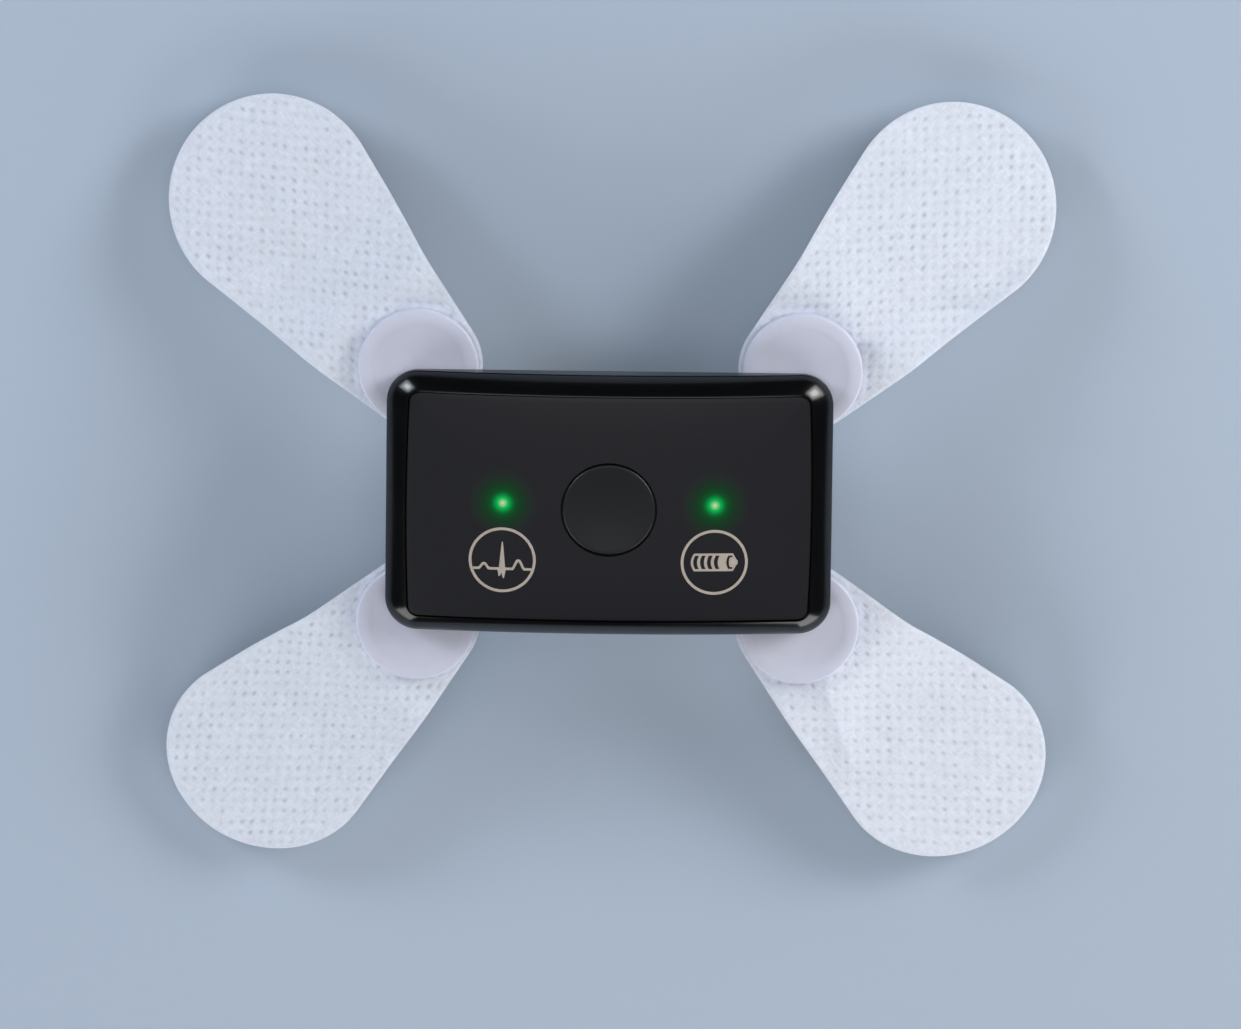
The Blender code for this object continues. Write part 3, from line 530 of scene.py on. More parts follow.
def lamp_glow(finish, colours):
    """Colour of the light by distance from the nearer lamp's axis: the guide's own glow and, round
    it, a painted glow that the panel emits.

    The distance is the length of (|x| - lamp_x, y - lamp_y). A bright core runs out through
    green into the dark. Also returns how far a place is from the dark window over the lamp.
    """
    reach = 5.4 * MM
    folded = finish.add("VectorMath", {"operation": "ABSOLUTE"}, {0: finish.place})
    sides = finish.add("SeparateXYZ", None, {0: folded.outputs["Vector"]})
    plain = finish.add("SeparateXYZ", None, {0: finish.place})
    across = finish.add("Math", {"operation": "SUBTRACT", 1: lamp_x}, {0: sides.outputs["X"]})
    up = finish.add("Math", {"operation": "SUBTRACT", 1: lamp_y}, {0: plain.outputs["Y"]})
    flat = finish.add("CombineXYZ", None, {"X": across.outputs[0], "Y": up.outputs[0]})
    away = finish.add("VectorMath", {"operation": "LENGTH"}, {0: flat.outputs["Vector"]})
    share = finish.add("Math", {"operation": "DIVIDE", 1: reach}, {0: away.outputs["Value"]})
    ramp = finish.add("ValToRGB", None, {"Fac": share.outputs[0]})
    stops = [(0.00, colours.lamp_core, 1.0), (0.05, colours.lamp_core, 0.72)]
    stops += [(place, colours.lamp, factor) for place, factor in (
        (0.15, 1.30), (0.21, 0.90), (0.27, 0.52), (0.33, 0.29), (0.40, 0.17), (0.52, 0.10),
        (0.68, 0.055), (1.00, 0.0))]
    elements = ramp.color_ramp.elements
    while len(elements) < len(stops):
        elements.new(1.0)
    for element, (place, base, factor) in zip(elements, stops):
        element.position = place
        element.color = shaded(base, factor)
    window = finish.add("MapRange", {"From Min": 0.3, "From Max": 0.95},
                        {"Value": share.outputs[0]})
    return ramp.outputs["Color"], window.outputs["Result"]


def satin_smoke(name, base, colours, lit):
    """Satin smoke PMMA, moulded on a fine spark-eroded tool: dark and even, with a soft sheen."""
    finish = Finish(name, base, {"IOR": 1.49, "Emission Strength": float(lit)})
    # Real grain is finer than 0.1 mm. It is drawn at 0.25 mm, so that it shows in the render.
    grain = finish.texture("Noise", 0.25 * MM, {"Detail": 2.0})
    cloud = finish.texture("Noise", 14 * MM, {"Detail": 3.0})
    clouded = finish.shade(cloud, 0.92, 1.1)
    finish.roughen(grain, 0.34, 0.46)
    finish.emboss(grain, 0.006 * MM)
    if lit:
        # The panel is thinned to a dark, clear window over each lamp, which mirrors less.
        light, open_skin = lamp_glow(finish, colours)
        # Round each guide the panel itself emits this light: a painted glow of the lamp below.
        finish.feed("Emission Color", light)
        skin = finish.add("Mix", {"data_type": "RGBA", 6: shaded(colours.window, 1.0)},
                          {0: open_skin, 7: clouded})
        finish.feed("Base Color", skin.outputs[2])
        sheen = finish.add("MapRange", {"To Min": 0.08, "To Max": 0.5}, {"Value": open_skin})
        finish.feed("Specular IOR Level", sheen.outputs["Result"])
    return finish.material


def lit_lens(colours):
    """Clear acrylic light guide, lit from below: a bright core in a dark, satin window."""
    finish = Finish("lit_green_lens", colours.window, {
        "Roughness": 0.4, "IOR": 1.49, "Specular IOR Level": 0.08, "Emission Strength": 1.0})
    finish.feed("Emission Color", lamp_glow(finish, colours)[0])
    return finish.material


def pad_ink(colours):
    """Warm grey pad-printing ink: matte, thin, with small pinholes and soft density changes."""
    finish = Finish("warm_grey_ink", colours.ink, {"IOR": 1.45})
    density = finish.texture("Noise", 0.6 * MM, {"Detail": 4.0})
    finish.shade(density, 0.82, 1.12)
    finish.roughen(density, 0.5, 0.65)
    finish.emboss(density, 0.004 * MM)
    return finish.material


def moulded_abs(colours):
    """Black ABS from a lightly grained mould: semi-gloss, with fine speckled reflections."""
    finish = Finish("moulded_black_abs", colours.rear, {"IOR": 1.5})
    grain = finish.texture("Voronoi", 0.32 * MM, {})
    wipe = finish.texture("Noise", 8 * MM, {"Detail": 3.0})
    finish.shade(wipe, 1.0, 1.5)
    finish.roughen(wipe, 0.18, 0.3)
    finish.emboss(grain, 0.005 * MM)
    return finish.material


def silicone_rubber(colours):
    """Black silicone gasket: matte, with a dusting of talc."""
    finish = Finish("black_silicone", colours.rubber, {"IOR": 1.41})
    dust = finish.texture("Noise", 0.7 * MM, {"Detail": 5.0})
    finish.shade(dust, 1.0, 2.2)
    finish.roughen(dust, 0.65, 0.85)
    return finish.material


def moulded_polyethylene(colours):
    """Grey-lavender moulded polyethylene: waxy, softly lit through, with faint flow marks."""
    finish = Finish("lavender_polyethylene", colours.disc, {
        "IOR": 1.51, "Subsurface Weight": 0.25, "Subsurface Scale": 0.8 * MM,
        "Subsurface Radius": (1.0, 1.0, 1.2)})
    flow = finish.texture("Noise", 6 * MM, {"Detail": 3.0, "Distortion": 0.8})
    grain = finish.texture("Noise", 0.3 * MM, {"Detail": 2.0})
    finish.shade(flow, 0.95, 1.05)
    finish.roughen(grain, 0.36, 0.46)
    finish.emboss(grain, 0.004 * MM)
    return finish.material


def embossed_nonwoven(colours):
    """White spun-bonded polypropylene: matted fibres with a soft sheen, and bonded dots.

    The attribute "emboss" is 1 in the middle of a dot and 0 on the open fibres. A pressed dot
    is smoother, as film is, and darker: partly the film's own grey, partly painted shade of its
    hollow. Fibres lie mostly along each patch, so the
    pattern is folded at both axes and turned by the patches' own angle. They are drawn as
    strands 0.15 mm wide, coarser than the real 0.02 mm, so that they show.
    """
    finish = Finish("embossed_nonwoven", colours.fabric, {
        "IOR": 1.49, "Specular IOR Level": 0.3, "Sheen Weight": 0.15, "Sheen Roughness": 0.5})
    dots = finish.add("Attribute", {"attribute_name": "emboss"}).outputs["Fac"]
    cloud = finish.texture("Noise", 4.5 * MM, {"Detail": 4.0})
    folded = finish.add("VectorMath", {"operation": "ABSOLUTE"}, {0: finish.place})
    along_patch = finish.add("Mapping", {"Rotation": (0, 0, -patch_turn)},
                             {"Vector": folded.outputs["Vector"]})
    fibres = []
    for stretch, grain in (((0.3, 1.0, 1.0), 0.5 * MM), ((0.8, 0.35, 1.0), 0.45 * MM)):
        laid = finish.add("Mapping", {"Scale": stretch}, {"Vector": along_patch.outputs["Vector"]})
        fibres.append(finish.texture("Noise", grain, {"Detail": 4.0, "Distortion": 0.5},
                                     laid.outputs["Vector"]))
    matted = finish.add("Math", {"operation": "MAXIMUM"}, {0: fibres[0], 1: fibres[1]}).outputs[0]
    thread = finish.add("MapRange",
                        {"From Min": 0.4, "From Max": 0.75, "To Min": 0.9, "To Max": 1.05},
                        {"Value": matted})
    tinted = finish.add("VectorMath", {"operation": "SCALE"},
                        {0: finish.shade(cloud, 0.95, 1.04), "Scale": thread.outputs["Result"]})
    # The dots' grey is partly the bonded film's own tone and partly painted shade of the pressed
    # hollow.
    share = finish.add("Math", {"operation": "MULTIPLY", 1: 0.85}, {0: dots})
    bonded = finish.add("Mix", {"data_type": "RGBA", 7: shaded(colours.pressed, 1.0)},
                        {0: share.outputs[0], 6: tinted.outputs["Vector"]})
    finish.feed("Base Color", bonded.outputs[2])
    finish.roughen(dots, 0.9, 0.55)
    finish.emboss(matted, 0.16 * MM, 0.7)
    return finish.material


def skin_adhesive(colours):
    """Acrylic skin adhesive on foam: tacky satin with trapped air bubbles."""
    finish = Finish("acrylic_adhesive", colours.adhesive, {
        "IOR": 1.47, "Coat Weight": 0.3, "Coat Roughness": 0.2})
    bubbles = finish.texture("Voronoi", 0.9 * MM, {})
    finish.shade(bubbles, 1.08, 0.9)
    finish.roughen(bubbles, 0.35, 0.55)
    finish.emboss(bubbles, 0.02 * MM, 0.6)
    return finish.material


def wet_hydrogel(colours):
    """Conductive hydrogel: wet and glassy, lit through, with the scrim that carries it."""
    finish = Finish("conductive_hydrogel", colours.gel, {
        "IOR": 1.38, "Subsurface Weight": 0.5, "Subsurface Scale": 0.6 * MM,
        "Coat Weight": 0.6, "Coat Roughness": 0.05})
    finish.feed("Base Color", finish.texture("Brick", 1.2 * MM, {
        "Mortar Size": 0.06, "Brick Width": 1.0, "Row Height": 1.0, "offset": 0.0,
        "Color1": shaded(colours.gel, 1.0), "Color2": shaded(colours.gel, 1.05),
        "Mortar": shaded(colours.gel, 1.35)}))
    cloud = finish.texture("Noise", 2.2 * MM, {"Detail": 2.0})
    finish.roughen(cloud, 0.06, 0.2)
    finish.emboss(cloud, 0.03 * MM, 0.5)
    return finish.material


def silver_ink(colours):
    """Screen-printed silver and silver chloride ink: fine metal flakes in a matte binder."""
    finish = Finish("silver_chloride_ink", colours.silver, {"Metallic": 0.8})
    flakes = finish.texture("Voronoi", 0.18 * MM, {})
    finish.shade(flakes, 1.1, 0.75)
    finish.roughen(flakes, 0.38, 0.6)
    return finish.material


def plated_nickel(colours):
    """Nickel-plated brass and steel, stamped: bright, with faint drawing lines."""
    finish = Finish("stamped_nickel_plate", colours.nickel, {"Metallic": 1.0})
    drawn = finish.add("Mapping", {"Scale": (1.0, 1.0, 0.12)}, {"Vector": finish.place})
    lines = finish.texture("Noise", 0.15 * MM, {"Detail": 3.0}, drawn.outputs["Vector"])
    finish.shade(lines, 0.88, 1.08)
    finish.roughen(lines, 0.2, 0.36)
    finish.emboss(lines, 0.002 * MM)
    return finish.material


def solder_mask(colours):
    """Green solder mask over copper tracks, which show as lighter, slightly raised lines."""
    finish = Finish("green_solder_mask", colours.board, {"IOR": 1.55})
    mask = finish.texture("Brick", 1.0 * MM, {
        "Mortar Size": 0.12, "Brick Width": 3.2, "Row Height": 0.8,
        "Color1": shaded(colours.board, 1.0), "Color2": shaded(colours.board, 0.85),
        "Mortar": shaded(colours.copper, 1.0)})
    finish.feed("Base Color", mask)
    tracks = mask.node.outputs["Fac"]
    finish.roughen(tracks, 0.42, 0.3)
    finish.emboss(tracks, 0.02 * MM, 0.5)
    return finish.material


def chip_epoxy(colours):
    """Moulded epoxy chip package: dull black with a fine mineral grain."""
    finish = Finish("chip_epoxy", colours.epoxy, {"IOR": 1.55})
    grain = finish.texture("Noise", 0.14 * MM, {"Detail": 3.0})
    finish.shade(grain, 0.8, 1.5)
    finish.roughen(grain, 0.5, 0.7)
    finish.emboss(grain, 0.01 * MM)
    return finish.material


def cell_foil(colours):
    """Aluminium laminate of a pouch cell: satin metal with soft creases."""
    finish = Finish("pouch_cell_foil", colours.foil, {"Metallic": 0.85})
    creases = finish.texture("Noise", 3.5 * MM, {"Detail": 3.0, "Distortion": 1.2})
    finish.shade(creases, 0.85, 1.1)
    finish.roughen(creases, 0.28, 0.42)
    finish.emboss(creases, 0.12 * MM, 0.6)
    return finish.material


def lamp_body(colours):
    """Surface-mounted lamp: white body round a phosphor window that glows green."""
    finish = Finish("lamp_phosphor", colours.phosphor, {
        "Roughness": 0.35, "Emission Color": shaded(colours.lamp, 1.0), "Emission Strength": 1.0})
    finish.shade(finish.texture("Noise", 0.2 * MM, {"Detail": 2.0}), 0.85, 1.05)
    return finish.material


# Recorder shapes

def arch_fall(x, sag, half_length):
    """Fall of an arched line below its middle: R - sqrt(R^2 - x^2), with R from sag and span."""
    radius = (half_length ** 2 + sag ** 2) / (2.0 * sag)
    return radius - np.sqrt(radius ** 2 - np.square(x))


class Recorder:
    """The recorder's outlines and levels, worked out from its settings and the model."""

    def __init__(self, sizes):
        self.sizes = sizes
        self.panel_length = (panel_high.x - panel_low.x) + 2 * (film_gap - sizes.panel_bulge)
        self.panel_width = (panel_high.y - panel_low.y) + 2 * film_gap
        self.inner_inset = sizes.outline_wall + sizes.inner_step
        self.floor_level = rear_level + sizes.floor_thickness
        self.seat_depth = sizes.panel_thickness + film_gap

    def rim_at(self, x):
        """Level of the seam at places along X."""
        return rim_level - arch_fall(x, self.sizes.rim_sag, case_length / 2)

    def face_at(self, x):
        """Level of the panel's upper face at places along X."""
        return face_level - arch_fall(x, self.sizes.panel_sag, self.panel_length / 2)

    def outline(self, half_x, half_y, radius, bulge=0.0):
        """A rounded rectangle: in each quarter half an end, a quarter circle and half a side.

        An end bulges by bulge (1 - (y / half_y)^2), and the corner takes up the rest of it.
        """
        straight_x, straight_y = half_x - radius, half_y - radius
        turn = np.linspace(0.0, 0.5 * math.pi, corner_steps + 1)
        end_y = np.linspace(0.0, straight_y, end_steps, endpoint=False)
        side_x = np.linspace(straight_x, 0.0, side_steps // 2 + 1)[1:]
        corner_bulge = bulge * (1.0 - (straight_y / half_y) ** 2)
        x = np.concatenate([
            half_x + bulge * (1.0 - (end_y / half_y) ** 2),
            straight_x + (radius + corner_bulge) * np.cos(turn),
            side_x,
        ])
        y = np.concatenate([end_y, straight_y + radius * np.sin(turn), np.full_like(side_x, half_y)])
        upper = np.stack([np.concatenate([x, -x[-2::-1]]), np.concatenate([y, y[-2::-1]])], -1)
        return np.concatenate([upper, upper[-2:0:-1] * (1, -1)])

    def case_ring(self, inset, level):
        """The case outline set in by a distance, on a level that may follow X."""
        ring = self.outline(case_length / 2 - inset, case_width / 2 - inset,
                            self.sizes.case_corner - inset)
        return np.column_stack([ring, np.broadcast_to(level(ring[:, 0]), len(ring))])

    def panel_ring(self, inset, level):
        """The panel outline set in by a distance, on a level that follows X."""
        least = self.sizes.panel_corner / 3
        ring = self.outline(self.panel_length / 2 - inset, self.panel_width / 2 - inset,
                            max(self.sizes.panel_corner - inset, least), self.sizes.panel_bulge)
        return np.column_stack([ring, level(ring[:, 0])])

    def bezel_ring(self, turn):
        """A ring on the bezel, whose section is a superellipse from the seam to the panel's edge.

        The outline moves inwards by 1 - cos(t)^(2/n) and the level rises by sin(t)^(2/n), where
        n is the fullness.
        """
        sizes = self.sizes
        power = 2.0 / sizes.bezel_fullness
        share = 1.0 - max(math.cos(turn), 0.0) ** power
        lift = math.sin(turn) ** power
        ring = self.outline(blend(case_length / 2, self.panel_length / 2, share),
                            blend(case_width / 2, self.panel_width / 2, share),
                            blend(sizes.case_corner, sizes.panel_corner, share),
                            sizes.panel_bulge * share)
        foot = self.rim_at(ring[:, 0]) + (fit_gap / 2 + sizes.seam_bevel)
        return np.column_stack([ring, blend(foot, self.face_at(ring[:, 0]), lift)])


def housing_mesh(recorder):
    """The bezel frame with the panel's ledge, open below, and the four screw bosses."""
    sizes = recorder.sizes

    def seam(x):
        return recorder.rim_at(x) + fit_gap / 2

    def ledge_top(x):
        return recorder.face_at(x) - recorder.seat_depth

    def ledge_foot(x):
        return ledge_top(x) - sizes.ledge_thickness

    rings = [recorder.case_ring(sizes.seam_bevel, seam)]
    rings += [recorder.bezel_ring(turn) for turn in np.linspace(0, 0.5 * math.pi, bezel_steps + 1)]
    rings += [
        recorder.panel_ring(0.0, ledge_top),
        recorder.panel_ring(sizes.ledge_width, ledge_top),
        recorder.panel_ring(sizes.ledge_width, ledge_foot),
        recorder.case_ring(recorder.inner_inset, ledge_foot),
        recorder.case_ring(recorder.inner_inset, seam),
    ]
    boss_radius = 1.6 * MM
    foot = recorder.floor_level + fit_gap
    top = float(ledge_foot(screw_x + boss_radius)) + sizes.ledge_thickness / 2
    bosses = bars([(boss_radius, foot, top)], screw_places)
    bore = (screw_shank_radius + fit_gap, foot - overrun, screw_top + fit_gap)
    frame_mesh = carve(loft("front_housing", rings, "none"), bosses, "UNION")
    return carve(frame_mesh, bars([bore], screw_places))


def panel_mesh(recorder):
    """The arched panel with a rounded upper edge and holes for the key and the light guides.

    Towards its edge the face rolls down by the square of the share of the roll's width.
    """
    sizes = recorder.sizes
    rounding = [(film_gap + sizes.panel_edge * (1.0 - math.cos(turn)),
                 sizes.panel_roll + sizes.panel_edge * (1.0 - math.sin(turn)))
                for turn in np.linspace(0.0, 0.5 * math.pi, fillet_steps)]
    edge = rounding[-1][0]
    rolling = [(edge + share * sizes.panel_roll_width, sizes.panel_roll * (1.0 - share) ** 2)
               for share in np.linspace(0.0, 1.0, 2 * fillet_steps)[1:]]
    rings = [recorder.panel_ring(inset, lambda x: recorder.face_at(x) - drop)
             for inset, drop in [(film_gap, sizes.panel_thickness)] + rounding + rolling]
    low, high = panel_low.z - overrun, face_level + overrun
    key_hole = key_flange_radius - sizes.key_flange_width + fit_gap
    holes = bars([(key_hole, low, high)], steps=fine_turn_steps)
    holes += bars([(guide_radius + guide_clearance, low, high)], lamp_places, fine_turn_steps)
    return carve(loft("front_panel", rings, "arched"), holes)


def cover_mesh(recorder):
    """The rear tray: rounded back, bevelled seam, gasket shoulder, mouths and screw sinks."""
    sizes = recorder.sizes
    half_gap = fit_gap / 2
    rings = []
    for turn in np.linspace(0.0, 0.5 * math.pi, 2 * fillet_steps + 1):
        level = rear_level + sizes.rear_round * (1.0 - math.cos(turn))
        rings.append(recorder.case_ring(sizes.rear_round * (1.0 - math.sin(turn)), lambda x: level))
    for inset, drop in (
            (0.0, half_gap + sizes.seam_bevel), (sizes.seam_bevel, half_gap),
            (sizes.outline_wall, half_gap), (sizes.outline_wall, sizes.shoulder_depth),
            (recorder.inner_inset, sizes.shoulder_depth)):
        rings.append(recorder.case_ring(inset, lambda x: recorder.rim_at(x) - drop))
    rings.append(recorder.case_ring(recorder.inner_inset, lambda x: recorder.floor_level))
    low = rear_level - overrun
    tools = []
    for name in corner_names:
        place, radius, _, top = round_node("snap_socket_" + name)
        tools += bars([(radius + fit_gap, low, top + fit_gap)], [place], fine_turn_steps)
    head_top = screw_foot + screw_head_height + film_gap
    tools += bars([(screw_head_radius + fit_gap, low, head_top),
                   (screw_shank_radius + fit_gap, head_top, recorder.floor_level + overrun)],
                  screw_places)
    return carve(loft("rear_cover", rings, "flat"), tools)


def key_mesh(recorder):
    """The round key: rounded edge, shallow dish and a hidden flange.

    The dish falls by the sine of the share of the way from the edge to the middle.
    """
    sizes = recorder.sizes
    radius = key_flange_radius - sizes.key_flange_width
    flange_top = key_foot + sizes.key_flange_thickness
    rim = radius - sizes.key_edge
    profile = [(0.0, key_foot), (key_flange_radius, key_foot), (key_flange_radius, flange_top),
               (radius, flange_top)]
    profile += [(rim + sizes.key_edge * math.cos(turn),
                 key_top - sizes.key_edge * (1.0 - math.sin(turn)))
                for turn in np.linspace(0.0, 0.5 * math.pi, 2 * fillet_steps)]
    profile += [(rim * (1.0 - share), key_top - sizes.key_dish * math.sin(0.5 * math.pi * share))
                for share in np.linspace(0.0, 1.0, bezel_steps)[1:]]
    return turned("event_button", profile, fine_turn_steps)


def guide_mesh(recorder, place):
    """A light guide: foot, flange and a tip that is flush with the arched panel."""
    foot_radius = guide_flange_radius - 0.9 * MM
    flange_thickness, edge_round = 0.5 * MM, 0.1 * MM
    flange_top = (recorder.face_at(lamp_x + guide_flange_radius) - recorder.sizes.panel_thickness
                  - film_gap)
    flange_foot = flange_top - flange_thickness
    profile = soft_profile([
        (0.0, guide_foot, 0), (foot_radius, guide_foot, edge_round), (foot_radius, flange_foot, 0),
        (guide_flange_radius, flange_foot, edge_round),
        (guide_flange_radius, flange_top, edge_round), (guide_radius, flange_top, 0),
        (guide_radius, guide_tip, 0)])
    profile += [(guide_radius * share, guide_tip)
                for share in np.linspace(1.0, 0.0, fillet_steps)[1:]]
    mesh = turned("light_guide", profile, small_turn_steps, place)
    points = np.empty(3 * len(mesh.vertices))
    mesh.vertices.foreach_get("co", points)
    points = points.reshape(-1, 3)
    at_tip = points[:, 2] > guide_tip - film_gap
    points[at_tip, 2] = recorder.face_at(points[at_tip, 0])
    mesh.vertices.foreach_set("co", points.reshape(-1))
    return mesh


# Printed symbols

def printed(name, recorder, plan, keep=None, closed_rows=False):
    """A film of ink on the arched panel, with its root just under the surface."""
    face = recorder.face_at(plan[..., 0])
    thickness = recorder.sizes.ink_thickness
    return slab(name, plan, face + thickness, face - thickness, keep, closed_rows)[0]


def ring_symbol(recorder, centre):
    """A ring: two circles of one middle radius, less and plus half the stroke."""
    sizes = recorder.sizes
    turn = np.linspace(0.0, 2.0 * math.pi, fine_turn_steps, endpoint=False)[:, None]
    radius = sizes.symbol_radius + sizes.symbol_stroke * np.array([[-0.5, 0.5]])
    plan = np.stack([centre[0] + radius * np.cos(turn), centre[1] + radius * np.sin(turn)], -1)
    return printed("ring", recorder, plan, closed_rows=True)


def trace_symbol(recorder, centre):
    """A heart-beat trace: a level line with two round waves and one tall spike between dips.

    A round wave is a cosine squared. The stroke's half height is its half width times
    sqrt(1 + slope^2), and the spike and the dips are straight-sided.
    """
    sizes = recorder.sizes
    level, half_stroke, spike_top = -1.48 * MM, 0.21 * MM, 3.05 * MM
    waves = ((-2.95 * MM, 1.9 * MM, 0.8 * MM), (2.6 * MM, 2.2 * MM, 1.4 * MM))
    inner = sizes.symbol_radius - sizes.symbol_stroke / 2
    end = math.sqrt(inner ** 2 - level ** 2)
    x = np.linspace(-end, end, 8 * corner_steps + 1)
    middle = np.full_like(x, level)
    for place, width, height in waves:
        near = np.abs(x - place) < width / 2
        middle += np.where(near, height * np.cos(math.pi * (x - place) / width) ** 2, 0.0)
    half = half_stroke * np.sqrt(1.0 + np.gradient(middle, x) ** 2)
    spike = np.interp(x, np.array([-0.55, -0.09, 0.09, 0.5]) * MM,
                      [level, spike_top, spike_top, level])
    dips = np.interp(x, np.array([-0.75, -0.6, -0.38, -0.1, 0.1, 0.32, 0.6]) * MM,
                     np.array([-1.48, -2.7, -2.7, -2.1, -3.05, -3.05, -1.48]) * MM,
                     left=np.inf, right=np.inf)
    edges = np.stack([np.minimum(middle - half, dips), np.maximum(middle + half, spike)], -1)
    plan = np.stack([np.repeat(x[:, None], 2, axis=1), edges], -1) + np.array(centre)
    return printed("trace", recorder, plan)


def battery_symbol(recorder, centre):
    """A battery with four bowed charge marks cut out of it, and a terminal at its right end.

    Upright lines bow to the right by the square of their height, and each cell of the grid
    between them is ink or a gap.
    """
    half_height, bow = 1.48 * MM, 0.55 * MM
    left_end, gap_start, gap_end, terminal = -3.8 * MM, 1.95 * MM, 2.35 * MM, 2.92 * MM
    height = np.array([-1, -0.76, -0.55, -0.37, -0.18, 0, 0.18, 0.37, 0.55, 0.76, 1])
    first_mark, mark_pitch, mark_width, marks = -3.4 * MM, 1.11 * MM, 0.62 * MM, 4
    starts = first_mark + mark_pitch * np.arange(marks)
    lines = np.concatenate([[left_end], np.stack([starts, starts + mark_width], -1).reshape(-1),
                            [gap_start, gap_end]])
    x = lines[:, None] + bow * height[None, :] ** 2
    step = np.full_like(height, terminal)
    tip = np.interp(np.abs(height), [0.0, 0.2, 0.4, 0.6, 1.0],
                    np.array([3.8, 3.76, 3.48, 3.35, 3.0]) * MM)
    x = np.concatenate([x, [step, tip]])
    plan = np.stack([x, np.broadcast_to(height * half_height, x.shape)], -1) + np.array(centre)
    keep = np.ones((len(x) - 1, len(height) - 1), bool)
    keep[1:2 * marks:2, 1:-1] = False
    keep[2 * marks + 1, 1:-1] = False
    keep[2 * marks + 2, [1, -2]] = False
    return printed("battery", recorder, plan, keep)


def joined(name, meshes):
    """One mesh of several."""
    group = bmesh.new()
    for mesh in meshes:
        group.from_mesh(mesh)
        bpy.data.meshes.remove(mesh)
    result = bpy.data.meshes.new(name)
    group.to_mesh(result)
    group.free()
    return result


# Electrode shapes

# Folds that a patch gets from its bend: (along, across) points, height or minus the depth, and
# the widths on the left and right of the line, all in millimetres
folds = {
    "upper_right": [(((8.8, -3.6), (12.5, -4.8), (16.1, -5.7), (19.0, -6.9), (22.7, -10.4),
                      (26.4, -14.4), (31.0, -16.2)), -1.6, 5.0, 3.2)],
    "upper_left": [(((12.0, 6.0), (17.0, 1.5), (19.0, -4.5)), 0.12, 3.0, 2.0)],
    "lower_left": [(((10.0, 5.5), (17.0, 5.0), (26.0, 9.5)), 0.14, 1.6, 3.0)],
    "lower_right": [(((11.8, -4.2), (17.7, -7.2), (23.9, -9.8)), 1.3, 4.5, 2.6)],
}


